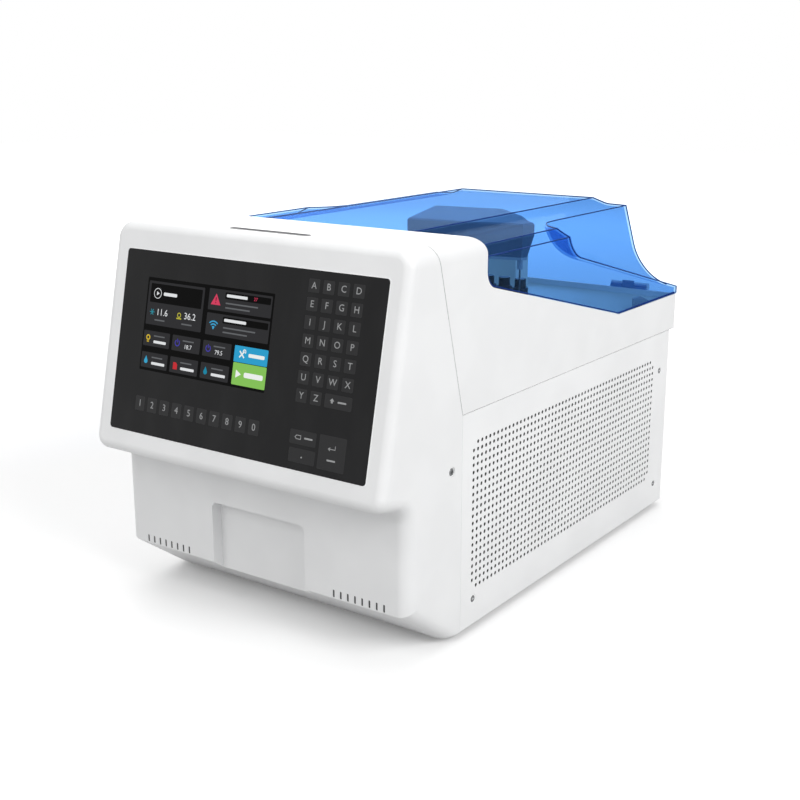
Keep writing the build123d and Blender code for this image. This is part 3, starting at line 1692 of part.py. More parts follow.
with BuildPart() as pump_rotor:
    rotor_depth = pump_depth - 2 * pump_wall
    with BuildSketch(Plane.XZ.offset(pump_depth / 2 - pump_y)):
        with Locations((pump_x, pump_z)):
            Circle(pump_radius - pump_roller_radius)
            with PolarLocations(
                pump_radius - pump_roller_radius - pump_roller_inset, pump_roller_count
            ):
                Circle(pump_roller_radius)
    extrude(amount=-rotor_depth)
    with BuildSketch(Plane.XZ.offset(pump_depth / 2 - pump_y)):
        with Locations((pump_x, pump_z)):
            Circle(pump_roller_radius)
    extrude(amount=-pump_depth - pump_wall)
save(pump_rotor, "pump_rotor")

# Valves on their manifold
with BuildPart() as valves:
    with BuildSketch(Plane.XY.offset(tray_top)):
        with Locations((valve_x, valve_y)):
            Rectangle(
                valve_pitch * valve_count + 2 * manifold_end, valve_size + 2 * manifold_side
            )
    extrude(amount=manifold_height)
    chamfer(valves.edges().group_by(Axis.Z)[-1], manifold_bevel)
    with BuildSketch(Plane.XY.offset(tray_top + manifold_height)):
        with Locations((valve_x, valve_y)):
            with GridLocations(valve_pitch, 1, valve_count, 1):
                RectangleRounded(valve_size, valve_size, valve_corner)
    extrude(amount=valve_height)
    with BuildSketch(Plane.XY.offset(tray_top + manifold_height + valve_height)):
        with Locations((valve_x, valve_y)):
            with GridLocations(valve_pitch, 1, valve_count, 1):
                Circle(valve_cap_radius)
    extrude(amount=valve_cap_height)
save(valves, "valves")

# Back panel and what it carries
fan_centre = (fan_x, base_z + fan_z)
inlet_centre = (inlet_x, base_z + inlet_z)
fluid_ports_at = [
    (fluid_port_x + fluid_port_pitch * n, base_z + fluid_port_z) for n in range(fluid_port_count)
]
usb_at = [(port_x + n * port_pitch, base_z + port_z) for n in (0, 1)]
lan_at = [(port_x + 2 * port_pitch, base_z + port_z)]
rear_screws_at = [
    (x, z)
    for x in (-tray_half + rear_screw_inset, tray_half - rear_screw_inset)
    for z in (tray_top + rear_screw_inset, seam_z - rear_screw_inset)
]
inner_back_y = back_y - sheet
with BuildPart() as rear_panel:
    with BuildSketch(Plane.XZ.offset(-inner_back_y)):
        with Locations((0, base_z)):
            Rectangle(2 * (half - sheet), panel_height, align=(Align.CENTER, Align.MIN))
        with Locations(fan_centre):
            Circle(fan_bore_radius, mode=Mode.SUBTRACT)
        with Locations(inlet_centre):
            Rectangle(inlet_width, inlet_height, mode=Mode.SUBTRACT)
        with Locations(usb_at):
            Rectangle(usb_width, usb_height, mode=Mode.SUBTRACT)
        with Locations(lan_at):
            Rectangle(lan_width, lan_height, mode=Mode.SUBTRACT)
        with Locations(fluid_ports_at):
            Circle(fluid_port_radius, mode=Mode.SUBTRACT)
        with Locations(rear_screws_at):
            Circle(screw_radius + fit_gap, mode=Mode.SUBTRACT)
        with Locations((louvre_x, base_z + louvre_z)):
            with GridLocations(louvre_pitch, 1, louvre_count, 1):
                SlotOverall(louvre_length, slot_width, rotation=90, mode=Mode.SUBTRACT)
    extrude(amount=-sheet)
save(rear_panel, "rear_panel")

with BuildPart() as rear_screws:
    with BuildSketch(Plane.XZ.offset(-back_y)):
        with Locations(rear_screws_at):
            Circle(screw_head_radius)
    extrude(amount=-screw_head_height * 2)
    with BuildSketch(Plane.XZ.offset(-back_y)):
        with Locations(rear_screws_at):
            Circle(screw_radius)
    extrude(amount=sheet + fit_gap)
save(rear_screws, "rear_screws")

with BuildPart() as fan_frame:
    with BuildSketch(Plane.XZ.offset(-inner_back_y)):
        with Locations(fan_centre):
            RectangleRounded(fan_size, fan_size, fan_corner)
            Circle(fan_bore_radius, mode=Mode.SUBTRACT)
    extrude(amount=fan_depth)
    with BuildSketch(Plane.XZ.offset(fan_depth - inner_back_y)):
        with Locations(fan_centre):
            Circle(fan_hub_radius)
            for angle in (0, 90):
                Rectangle(2 * fan_bore_radius + overcut, fan_spoke_width, rotation=angle)
    extrude(amount=-fan_spoke)
    with BuildSketch(Plane.XZ.offset(fan_depth - inner_back_y)):
        with Locations(fan_centre):
            Circle(fan_shaft_radius + running_gap)
    extrude(amount=-fan_spoke, mode=Mode.SUBTRACT)
save(fan_frame, "fan_frame")

blade_depth = fan_depth - fan_spoke - 2 * fan_blade_gap
with BuildPart() as fan_rotor:
    with BuildSketch(Plane.XZ.offset(fan_blade_gap - inner_back_y)):
        with Locations(fan_centre):
            Circle(fan_hub_radius)
    extrude(amount=blade_depth)
    with BuildSketch(Plane.XZ.offset(fan_blade_gap - inner_back_y)):
        with Locations(fan_centre):
            Circle(fan_shaft_radius)
    extrude(amount=fan_depth - fan_blade_gap)
    blade_length = fan_bore_radius - fan_blade_gap - fan_hub_radius + fan_blade_root
    for blade in range(fan_blade_count):
        hub_point = Plane(
            origin=(fan_x, inner_back_y - fan_blade_gap - blade_depth / 2, base_z + fan_z),
            x_dir=(0, 1, 0),
            z_dir=(
                cos(radians(360 / fan_blade_count * blade)),
                0,
                sin(radians(360 / fan_blade_count * blade)),
            ),
        )
        with BuildSketch(hub_point.offset(fan_hub_radius - fan_blade_root)):
            Rectangle(blade_depth, fan_blade_thickness, rotation=fan_blade_pitch)
        extrude(amount=blade_length)
save(fan_rotor, "fan_rotor")

with BuildPart() as fan_guard:
    with BuildSketch(Plane.XZ.offset(-back_y)):
        with Locations(fan_centre):
            for ring in range(guard_rings):
                radius = fan_bore_radius + guard_rim - ring * guard_pitch
                Circle(radius)
                Circle(radius - guard_wire, mode=Mode.SUBTRACT)
            for angle in (45, -45):
                Rectangle(2 * (fan_bore_radius + guard_end), guard_bar, rotation=angle)
    extrude(amount=-guard_wire)
save(fan_guard, "fan_guard")

# Power inlet with its switch
socket_x = inlet_x - inlet_width / 2 + inlet_height / 2 + socket_end
rocker_x = inlet_x + inlet_width / 2 - rocker_height / 2 - rocker_end
rocker_y = back_y + inlet_flange - rocker_sink
with BuildPart() as power_inlet:
    with BuildSketch(Plane.XZ.offset(-back_y)):
        with Locations(inlet_centre):
            RectangleRounded(
                inlet_width + 2 * inlet_rim, inlet_height + 2 * inlet_rim, inlet_corner
            )
    extrude(amount=-inlet_flange)
    with BuildSketch(Plane.XZ.offset(-back_y)):
        with Locations(inlet_centre):
            Rectangle(inlet_width, inlet_height)
    extrude(amount=inlet_depth)
    with BuildSketch(Plane.XZ.offset(-back_y - inlet_flange)):
        with Locations((socket_x, base_z + inlet_z)):
            Rectangle(socket_width, socket_height)
        with Locations((rocker_x, base_z + inlet_z)):
            Rectangle(rocker_height + 2 * rocker_gap, rocker_width + 2 * rocker_gap)
    extrude(amount=socket_depth, mode=Mode.SUBTRACT)
    with BuildSketch(Plane.XZ.offset(-back_y - inlet_flange + socket_depth)):
        with Locations((socket_x, base_z + inlet_z)):
            with GridLocations(socket_width / 2, 1, 2, 1):
                Rectangle(contact_width, contact_height)
            with Locations((0, socket_height / 4)):
                Rectangle(contact_width, contact_height)
    extrude(amount=contact_sink - socket_depth)
    with BuildSketch(Plane.YZ.offset(rocker_x)):
        with Locations((rocker_y, base_z + inlet_z)):
            Circle(rocker_pin_radius + running_gap)
    extrude(
        amount=rocker_height / 2 + rocker_gap + rocker_pin_reach + fit_gap,
        both=True,
        mode=Mode.SUBTRACT,
    )
save(power_inlet, "power_inlet")

with BuildPart() as power_rocker:
    tip = rocker_width / 2 - rocker_tip_gap
    with BuildSketch(Plane.YZ.offset(rocker_x)):
        with BuildLine():
            Polyline(
                (rocker_y - rocker_body, base_z + inlet_z - tip),
                (rocker_y + rocker_sink + rocker_rise, base_z + inlet_z - tip),
                (rocker_y + rocker_sink, base_z + inlet_z),
                (rocker_y + rocker_sink, base_z + inlet_z + tip),
                (rocker_y - rocker_body, base_z + inlet_z + tip),
                close=True,
            )
        make_face()
    extrude(amount=rocker_height / 2, both=True)
    with BuildSketch(Plane.YZ.offset(rocker_x)):
        with Locations((rocker_y, base_z + inlet_z)):
            Circle(rocker_pin_radius)
    extrude(amount=rocker_height / 2 + rocker_gap + rocker_pin_reach, both=True)
save(power_rocker, "power_rocker")


def socket_shells(places, width, height, thickness):
    """Open metal port shells through the back panel, with their tongues."""
    with BuildPart() as shells:
        with BuildSketch(Plane.XZ.offset(-back_y - port_stand)):
            with Locations(places):
                Rectangle(width, height)
        extrude(amount=port_depth)
        with BuildSketch(Plane.XZ.offset(-back_y - port_stand)):
            with Locations(places):
                Rectangle(width - 2 * thickness, height - 2 * thickness)
                with Locations((0, height / 5)):
                    Rectangle(width - 4 * thickness, height / 5, mode=Mode.SUBTRACT)
        extrude(amount=port_depth - port_floor, mode=Mode.SUBTRACT)
    return shells.part


with BuildPart() as data_ports:
    add(socket_shells(usb_at, usb_width, usb_height, usb_shell))
    add(socket_shells(lan_at, lan_width, lan_height, lan_shell))
save(data_ports, "data_ports")

with BuildPart() as fluid_ports:
    with BuildSketch(Plane.XZ.offset(-inner_back_y)):
        with Locations(fluid_ports_at):
            Circle(fluid_port_radius)
    extrude(amount=-2 * sheet - fluid_port_length)
    with BuildSketch(Plane.XZ.offset(-inner_back_y)):
        with Locations(fluid_ports_at):
            Circle(2 * fluid_port_radius)
    extrude(amount=2 * sheet)
    with BuildSketch(Plane.XZ.offset(-back_y)):
        with Locations(fluid_ports_at):
            Circle(fluid_nut_radius)
    extrude(amount=-sheet)
    with BuildSketch(Plane.XZ.offset(2 * sheet - inner_back_y)):
        with Locations(fluid_ports_at):
            Circle(fluid_port_bore)
    extrude(amount=-4 * sheet - fluid_port_length, mode=Mode.SUBTRACT)
save(fluid_ports, "fluid_ports")
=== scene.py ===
"""Dresses the bench chemistry analyzer: its finishes, printed panel, perforated sides and light.

Every length is in metres. X runs across the front, Y from the front to the back, and Z up from the
ground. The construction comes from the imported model, and the pieces made here ride on its bodies.
"""

import json
import logging
from dataclasses import dataclass, field
from enum import Enum
from math import cos, hypot, pi, radians, sin
from string import ascii_uppercase
from typing import Any, Callable, Iterable, Sequence, Union

import bmesh
import bpy
from mathutils import Matrix, Vector

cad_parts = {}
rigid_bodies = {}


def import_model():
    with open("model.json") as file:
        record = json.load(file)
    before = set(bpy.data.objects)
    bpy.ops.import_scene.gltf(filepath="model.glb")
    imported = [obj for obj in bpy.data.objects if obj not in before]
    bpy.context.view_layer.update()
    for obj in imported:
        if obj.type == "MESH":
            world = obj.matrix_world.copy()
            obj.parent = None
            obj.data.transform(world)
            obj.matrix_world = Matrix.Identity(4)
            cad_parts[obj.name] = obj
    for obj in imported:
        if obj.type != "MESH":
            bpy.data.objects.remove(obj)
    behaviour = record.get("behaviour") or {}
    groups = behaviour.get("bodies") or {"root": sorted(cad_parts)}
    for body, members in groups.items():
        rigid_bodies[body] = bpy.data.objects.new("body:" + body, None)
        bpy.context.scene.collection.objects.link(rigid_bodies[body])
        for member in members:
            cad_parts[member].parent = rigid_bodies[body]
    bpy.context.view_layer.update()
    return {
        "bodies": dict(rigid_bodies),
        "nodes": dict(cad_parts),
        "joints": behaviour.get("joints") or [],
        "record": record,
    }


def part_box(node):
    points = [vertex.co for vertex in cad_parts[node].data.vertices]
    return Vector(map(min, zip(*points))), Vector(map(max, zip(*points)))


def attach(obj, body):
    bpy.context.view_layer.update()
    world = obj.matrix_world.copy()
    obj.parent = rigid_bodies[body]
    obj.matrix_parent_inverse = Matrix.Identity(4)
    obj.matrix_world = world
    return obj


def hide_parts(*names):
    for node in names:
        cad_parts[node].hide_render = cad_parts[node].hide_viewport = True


logging.basicConfig(level=logging.INFO, format="%(name)s: %(message)s")
log = logging.getLogger("analyzer")

MM = 0.001
CAPITAL_SHARE = 0.7
FULL_TURN = (0.0, 359.9)
TOP_LAYER = 3

Colour = tuple[float, float, float]
Point = tuple[float, float]
Value = Union["Signal", float, Sequence[float]]
Mesh = bmesh.types.BMesh
Vert = bmesh.types.BMVert
Edge = bmesh.types.BMEdge
Piece = bpy.types.Object


class Body(str, Enum):
    """The rigid bodies that the pieces made here ride on."""

    CASE = "case"
    LID = "lid"


class Side(Enum):
    """A side of the case, as the sign of its X."""

    LEFT = -1
    RIGHT = 1


def srgb(code: str) -> Colour:
    """Turns a six-digit colour code into linear light.

    Args:
        code: The colour as RRGGBB.

    Returns:
        Red, green and blue from 0 to 1.
    """
    parts = [int(code[i : i + 2], 16) / 255 for i in (0, 2, 4)]
    linear = [c / 12.92 if c <= 0.04045 else ((c + 0.055) / 1.055) ** 2.4 for c in parts]
    return linear[0], linear[1], linear[2]


def shaded(colour: Colour, share: float) -> Colour:
    """A colour made darker by a share below 1, or paler by one above it."""
    return colour[0] * share, colour[1] * share, colour[2] * share


def in_metres(points: Sequence[Point]) -> list[Point]:
    """Turns points given in millimetres into metres."""
    return [(x * MM, y * MM) for x, y in points]


def placement(turn: Sequence[Sequence[float]], at: Sequence[float]) -> Matrix:
    """A placement from the rows of its turn and from its origin."""
    made = Matrix(turn).to_4x4()
    made.translation = at
    return made


@dataclass(frozen=True)
class Signal:
    """A socket's value, which Python's operators join to others by Math nodes."""

    shader: "Shader"
    socket: bpy.types.NodeSocket

    def __add__(self, other: Value) -> "Signal":
        """Adds a value."""
        return self.shader.maths("ADD", self, other)

    def __radd__(self, other: Value) -> "Signal":
        """Adds to a value on the left."""
        return self.shader.maths("ADD", other, self)

    def __sub__(self, other: Value) -> "Signal":
        """Takes a value away."""
        return self.shader.maths("SUBTRACT", self, other)

    def __rsub__(self, other: Value) -> "Signal":
        """Takes this away from a value on the left."""
        return self.shader.maths("SUBTRACT", other, self)

    def __mul__(self, other: Value) -> "Signal":
        """Multiplies by a value."""
        return self.shader.maths("MULTIPLY", self, other)

    def __rmul__(self, other: Value) -> "Signal":
        """Multiplies a value on the left."""
        return self.shader.maths("MULTIPLY", other, self)

    def __pow__(self, other: Value) -> "Signal":
        """Raises to a power."""
        return self.shader.maths("POWER", self, other)

    def __rpow__(self, other: Value) -> "Signal":
        """Raises a value on the left to this power."""
        return self.shader.maths("POWER", other, self)

    def around(self, middle: float, width: float) -> "Signal":
        """Spreads a value from 0 to 1 over a width around a middle."""
        return self * width + (middle - width / 2)

    def blend(self, other: "Signal", share: float) -> "Signal":
        """Takes in a share of another value."""
        return self * (1 - share) + other * share

    def ramp(self, low: float, high: float) -> "Signal":
        """Maps low..high to 0..1, smoothly and within those limits.

        Args:
            low: The value that gives 0.
            high: The value that gives 1.

        Returns:
            The mapped value.
        """
        return self.shader.node(
            "ShaderNodeMapRange",
            {"interpolation_type": "SMOOTHSTEP"},
            {"Value": self, "From Min": low, "From Max": high},
            "Result",
        )


class Shader:
    """A material or a world under construction, with one method that adds any node."""

    MIX_A, MIX_B, MIX_RESULT = 6, 7, 2

    def __init__(
        self, owner: bpy.types.Material | bpy.types.World, output: str = "ShaderNodeOutputMaterial"
    ) -> None:
        """Starts with nothing but an output.

        Args:
            owner: The material or the world.
            output: The type name of its output node.
        """
        owner.use_nodes = True
        self.owner = owner
        self.tree = owner.node_tree
        self.tree.nodes.clear()
        self.output = self.tree.nodes.new(output)

    def node(
        self,
        kind: str,
        settings: dict[str, Any] | None = None,
        inputs: dict[Any, Value] | None = None,
        output: int | str = 0,
    ) -> Signal:
        """Adds a node, sets it up and then feeds its sockets.

        Args:
            kind: The node's type name.
            settings: Its own properties.
            inputs: Values or signals by socket name or index.
            output: The name or index of the output to give back.

        Returns:
            The output.
        """
        made = self.tree.nodes.new(kind)
        for key, value in (settings or {}).items():
            setattr(made, key, value)
        for key, value in (inputs or {}).items():
            socket = made.inputs[key]
            if isinstance(value, Signal):
                self.tree.links.new(value.socket, socket)
            elif socket.type == "RGBA":
                socket.default_value = (*value, 1)
            else:
                socket.default_value = value
        return Signal(self, made.outputs[output])

    def maths(self, operation: str, *values: Value) -> Signal:
        """Joins values by a Math node."""
        return self.node("ShaderNodeMath", {"operation": operation}, dict(enumerate(values)))

    def place(self) -> Signal:
        """The point on the object, in metres."""
        return self.node("ShaderNodeTexCoord", output="Object")

    def stretched(self, scale: Sequence[float]) -> Signal:
        """The point on the object with each axis scaled."""
        inputs = {0: self.place(), 1: scale}
        return self.node("ShaderNodeVectorMath", {"operation": "MULTIPLY"}, inputs)

    def noise(self, size: float, detail: float = 3.0, at: Signal | None = None) -> Signal:
        """A cloudy value whose grains are about that size.

        Args:
            size: The grain's size in metres.
            detail: How many finer layers it has.
            at: The point to read, or the point on the object.

        Returns:
            A value around 0.5.
        """
        inputs = {"Vector": at or self.place(), "Scale": 1 / size, "Detail": detail}
        return self.node("ShaderNodeTexNoise", None, inputs)

    def cells(self, size: float, feature: str = "F1") -> Signal:
        """The distance to the nearest of scattered points, about that far apart."""
        inputs = {"Vector": self.place(), "Scale": 1 / size}
        return self.node("ShaderNodeTexVoronoi", {"feature": feature}, inputs, "Distance")

    def mix(self, factor: Value, first: Value, second: Value) -> Signal:
        """A colour between two, by a factor."""
        inputs = {"Factor": factor, self.MIX_A: first, self.MIX_B: second}
        return self.node("ShaderNodeMix", {"data_type": "RGBA"}, inputs, self.MIX_RESULT)

    def bump(self, height: Signal, depth: float) -> Signal:
        """A surface normal shaped by a height, whose full range is that deep in metres."""
        inputs = {"Height": height, "Distance": depth, "Strength": 1.0}
        return self.node("ShaderNodeBump", None, inputs)

    def principled(self, inputs: dict[str, Value]) -> Signal:
        """A Principled surface with those sockets set."""
        return self.node("ShaderNodeBsdfPrincipled", None, inputs)

    def seen(self) -> Signal:
        """1 for rays that see the surface straight, in a gloss or through glass, or else 0."""
        camera, glossy, through = (
            self.node("ShaderNodeLightPath", output=f"Is {kind} Ray")
            for kind in ("Camera", "Glossy", "Transmission")
        )
        return self.maths("MAXIMUM", self.maths("MAXIMUM", camera, glossy), through)

    def finish(self, surface: Signal) -> Any:
        """Connects the surface to the output and gives back the material or the world."""
        self.tree.links.new(surface.socket, self.output.inputs["Surface"])
        return self.owner


@dataclass(frozen=True)
class Finish:
    """A finish that gives one material, made the first time it is asked for."""

    name: str
    colour: Colour

    def build(self, shader: Shader) -> Signal:
        """Builds the surface. Each finish has its own."""
        raise NotImplementedError

    def material(self) -> bpy.types.Material:
        """The finish's material, under a name that no packed material has."""
        own_name = f"finish_{self.name}"
        found = bpy.data.materials.get(own_name)
        if found is None:
            shader = Shader(bpy.data.materials.new(own_name))
            found = shader.finish(self.build(shader))
        return found

    def dress(self, piece: Piece) -> None:
        """Puts the finish on every slot of a piece."""
        material = self.material()
        if not piece.material_slots:
            piece.data.materials.append(material)
        for slot in piece.material_slots:
            slot.material = material


@dataclass(frozen=True)
class MouldedPlastic(Finish):
    """Moulded plastic with a fine spark grain and slightly uneven gloss."""

    roughness: float = 0.42
    grain: float = 0.5 * MM
    depth: float = 0.012 * MM
    shade: float = 0.03
    coat: float = 0.0
    shine: float = 0.5
    cloud: float = 60 * MM
    cloud_range: Point = (0.35, 0.65)
    spread: float = 0.08
    grain_spread: float = 0.06
    coat_roughness: float = 0.12

    def build(self, shader: Shader) -> Signal:
        """Grain in the normal, and slow clouds in colour and gloss."""
        clouds = shader.noise(self.cloud, 2)
        grain = shader.noise(self.grain, 4)
        darker = shaded(self.colour, 1 - self.shade)
        gloss = clouds.around(self.roughness, self.spread)
        return shader.principled(
            {
                "Base Color": shader.mix(clouds.ramp(*self.cloud_range), darker, self.colour),
                "Roughness": gloss + (grain - 0.5) * self.grain_spread,
                "Normal": shader.bump(grain, self.depth),
                "Coat Weight": self.coat,
                "Coat Roughness": self.coat_roughness,
                "Specular IOR Level": self.shine,
            }
        )


@dataclass(frozen=True)
class PowderCoat(Finish):
    """Powder-coated sheet with a soft orange peel."""

    roughness: float = 0.4
    peel: float = 1.6 * MM
    depth: float = 0.03 * MM
    speck: float = 0.35 * MM
    cloud: float = 90 * MM
    cloud_range: Point = (0.35, 0.65)
    shades: Point = (0.97, 1.02)
    spread: float = 0.08
    speck_in_colour: float = 0.3
    speck_in_peel: float = 0.2

    def build(self, shader: Shader) -> Signal:
        """Orange peel in the normal over a fine speckle."""
        peel = shader.noise(self.peel, 1)
        speck = shader.noise(self.speck, 2)
        clouds = shader.noise(self.cloud, 2)
        mottle = clouds.blend(speck, self.speck_in_colour).ramp(*self.cloud_range)
        darker, paler = (shaded(self.colour, share) for share in self.shades)
        return shader.principled(
            {
                "Base Color": shader.mix(mottle, darker, paler),
                "Roughness": peel.around(self.roughness, self.spread),
                "Normal": shader.bump(peel.blend(speck, self.speck_in_peel), self.depth),
            }
        )


@dataclass(frozen=True)
class TintedAcrylic(Finish):
    """Clear tinted sheet: light goes straight through and takes the tint, under a polished skin."""

    gloss: Colour = (0.55, 0.75, 1.0)
    shine: float = 0.05
    least: float = 0.006
    wipe: float = 14 * MM
    wipe_scale: tuple[float, float, float] = (1, 0.25, 1)
    wipe_range: Point = (0.45, 0.8)
    roughness: float = 0.09
    spread: float = 0.1

    def build(self, shader: Shader) -> Signal:
        """A tinted see-through surface under a gloss that grows at a slant."""
        wipe = shader.noise(self.wipe, 4, shader.stretched(self.wipe_scale)).ramp(*self.wipe_range)
        facing = shader.node("ShaderNodeLayerWeight", output="Facing")
        clear = shader.node("ShaderNodeBsdfTransparent", None, {"Color": self.colour})
        polish = {"Color": self.gloss, "Roughness": wipe.around(self.roughness, self.spread)}
        skin = shader.node("ShaderNodeBsdfAnisotropic", None, polish)
        share = facing**5 * self.shine + self.least
        return shader.node("ShaderNodeMixShader", None, {0: share, 1: clear, 2: skin})


@dataclass(frozen=True)
class PolishedGlass(Finish):
    """Opaque printed glass with a deep polish and faint wipe marks."""

    roughness: float = 0.16
    shine: float = 0.15
    wipe: float = 22 * MM
    wipe_scale: tuple[float, float, float] = (1, 1, 0.3)
    wipe_share: float = 1.12
    wipe_haze: float = 0.0008
    dust: float = 0.3 * MM
    spread: float = 0.1
    dust_spread: float = 0.03

    def build(self, shader: Shader) -> Signal:
        """Wipe marks in the gloss over an even colour."""
        wipe = shader.noise(self.wipe, 5, shader.stretched(self.wipe_scale))
        dust = shader.noise(self.dust, 1)
        paler = tuple(c * self.wipe_share + self.wipe_haze for c in self.colour)
        smears = wipe.ramp(0.35, 0.75) * self.spread
        return shader.principled(
            {
                "Base Color": shader.mix(wipe.ramp(0.4, 0.7), self.colour, paler),
                "Roughness": smears + dust * self.dust_spread + (self.roughness - self.dust_spread),
                "Specular IOR Level": self.shine,
            }
        )


@dataclass(frozen=True)
class ScreenInk(Finish):
    """A colour that the lit screen shows, behind the glass's gloss."""

    glow: float = 0.75
    roughness: float = 0.3
    spread: float = 0.04
    shine: float = 0.05
    cell: float = 0.45 * MM
    unlit: float = 0.1
    between: float = 0.9

    def build(self, shader: Shader) -> Signal:
        """The fine raster of the screen's cells, lit in the ink's colour."""
        raster = shader.cells(self.cell).ramp(0.0, 0.6)
        return shader.principled(
            {
                "Base Color": shaded(self.colour, self.unlit),
                "Emission Color": shader.mix(raster, self.colour, shaded(self.colour, self.between)),
                "Emission Strength": self.glow,
                "Roughness": raster.around(self.roughness, self.spread),
                "Specular IOR Level": self.shine,
            }
        )


@dataclass(frozen=True)
class BrushedMetal(Finish):
    """Metal with fine brush lines along one axis."""

    roughness: float = 0.32
    lines: tuple[float, float, float] = (0.06, 1.0, 1.0)
    brush: float = 0.4 * MM
    stain: float = 30 * MM
    stain_share: float = 0.4
    streak_range: Point = (0.3, 0.7)
    shade: float = 0.8
    spread: float = 0.16
    depth: float = 0.01 * MM

    def build(self, shader: Shader) -> Signal:
        """Brush lines in gloss, colour and normal."""
        brush = shader.noise(self.brush, 3, shader.stretched(self.lines))
        stain = shader.noise(self.stain, 3)
        streaks = brush.blend(stain, self.stain_share).ramp(*self.streak_range)
        return shader.principled(
            {
                "Base Color": shader.mix(streaks, shaded(self.colour, self.shade), self.colour),
                "Metallic": 1.0,
                "Roughness": brush.around(self.roughness, self.spread),
                "Normal": shader.bump(brush, self.depth),
            }
        )


@dataclass(frozen=True)
class ClearPlastic(Finish):
    """Clear moulded plastic for cups and cells."""

    alpha: float = 0.45
    roughness: float = 0.16
    spread: float = 0.12
    flow: float = 5 * MM
    shade: float = 0.93
    index: float = 1.5

    def build(self, shader: Shader) -> Signal:
        """Slight flow marks in the gloss."""
        flow = shader.noise(self.flow, 2)
        return shader.principled(
            {
                "Base Color": shader.mix(flow, self.colour, shaded(self.colour, self.shade)),
                "Roughness": flow.around(self.roughness, self.spread),
                "Alpha": self.alpha,
                "IOR": self.index,
            }
        )


@dataclass(frozen=True)
class SoftRubber(Finish):
    """Matt black rubber with a chalky bloom."""

    chalk: Colour = (0.07, 0.07, 0.07)
    bloom: float = 8 * MM
    bloom_range: Point = (0.4, 0.75)
    pit: float = 0.6 * MM
    depth: float = 0.04 * MM
    roughness: float = 0.8
    spread: float = 0.1

    def build(self, shader: Shader) -> Signal:
        """Bloom in the colour over fine pits."""
        bloom = shader.noise(self.bloom, 4)
        pits = shader.noise(self.pit, 3)
        return shader.principled(
            {
                "Base Color": shader.mix(bloom.ramp(*self.bloom_range), self.colour, self.chalk),
                "Roughness": pits.around(self.roughness, self.spread),
                "Normal": shader.bump(pits, self.depth),
            }
        )


@dataclass(frozen=True)
class CircuitLaminate(Finish):
    """Green board with tracks and small tinned pads."""

    colour: Colour = (0.012, 0.11, 0.045)
    track: Colour = (0.03, 0.2, 0.08)
    tin: Colour = (0.55, 0.53, 0.48)
    track_gap: float = 3.2 * MM
    pad_gap: float = 5 * MM
    track_range: Point = (0.03, 0.05)
    pad_range: Point = (0.1, 0.12)
    depth: float = 0.03 * MM
    roughness: float = 0.4
    spread: float = 0.1

    def build(self, shader: Shader) -> Signal:
        """Tracks along the borders of cells, and pads at the middles of others."""
        line = shader.cells(self.track_gap, "DISTANCE_TO_EDGE").ramp(*self.track_range)
        pad = 1 - shader.cells(self.pad_gap).ramp(*self.pad_range)
        laminate = shader.mix(line, self.track, self.colour)
        return shader.principled(
            {
                "Base Color": shader.mix(pad, laminate, self.tin),
                "Roughness": pad.around(self.roughness, self.spread),
                "Metallic": pad,
                "Normal": shader.bump(line, self.depth),
            }
        )


@dataclass(frozen=True)
class PlainPaper(Finish):
    """Uncoated paper."""

    fibre: float = 0.8 * MM
    shade: float = 0.95
    depth: float = 0.01 * MM
    roughness: float = 0.875
    spread: float = 0.05

    def build(self, shader: Shader) -> Signal:
        """Fibres in colour and normal."""
        fibre = shader.noise(self.fibre, 5)
        return shader.principled(
            {
                "Base Color": shader.mix(fibre, self.colour, shaded(self.colour, self.shade)),
                "Roughness": fibre.around(self.roughness, self.spread),
                "Normal": shader.bump(fibre, self.depth),
            }
        )


WHITE_COVER = MouldedPlastic("white_cover", (0.83, 0.835, 0.84))
WHITE_SHEET = PowderCoat("white_sheet", (0.84, 0.845, 0.85))
BLUE_LID = TintedAcrylic("blue_lid", (0.532, 0.702, 0.882))
# Painted shade: dark blue lines on the lid's creases and rims stand in for the darker look of the
# tinted sheet seen edge-on.
LID_EDGE_SHADE = MouldedPlastic("lid_edge_shade", (0.006, 0.04, 0.22), 0.3, shade=0.1, shine=0.1)
SEAM_SHADE = SoftRubber("seam_shade", (0.16, 0.16, 0.165))
BLACK_GLASS = PolishedGlass("black_glass", srgb("1A1A1B"))
KEY_FACE = MouldedPlastic("key_face", srgb("2A2A2B"), 0.35, 0.4 * MM, 0.004 * MM, shine=0.15)
KEY_LEGEND = MouldedPlastic("key_legend", srgb("9C9D9E"), 0.4, shine=0.2)
BRIGHT_STEEL = BrushedMetal("bright_steel", (0.62, 0.63, 0.64))
DARK_STEEL = BrushedMetal("dark_steel", (0.2, 0.205, 0.21), 0.38)
SCREW_STEEL = BrushedMetal("screw_steel", (0.38, 0.385, 0.39), 0.34)
ARM_GREY = MouldedPlastic("arm_grey", (0.17, 0.225, 0.29), 0.45, shine=0.1)
HINGE_PAINT = PowderCoat("hinge_paint", (0.9, 0.9, 0.88))
# Painted light: the fluid tower's white is made paler and warmer to make up for the shade and the
# blue-tinted light it gets inside the lid.
PAINTED_LIGHT_PLASTIC = MouldedPlastic("painted_light_plastic", (0.9, 0.84, 0.72), 0.4)
SIGN_INK = MouldedPlastic("sign_ink", (0.08, 0.08, 0.085), 0.5)
# Painted shade: the grey of the paper slot's lining stands in for the shade inside the slot.
SLOT_SHADE = MouldedPlastic("slot_shade", (0.26, 0.26, 0.265), 0.4)
# Painted shade: the dark mesh in the vent slots stands in for the shade inside them.
VENT_SHADE_MESH = SoftRubber("vent_mesh", (0.05, 0.05, 0.052))
FILTER_FOAM = SoftRubber("filter_foam", (0.03, 0.03, 0.032))
# Painted highlight: a pale glossy ring that stands in for the light caught by the front cover's edge
# around the glass.
GLASS_RIM_HIGHLIGHT = MouldedPlastic("glass_rim_highlight", (0.93, 0.935, 0.94), 0.2, coat=0.5)

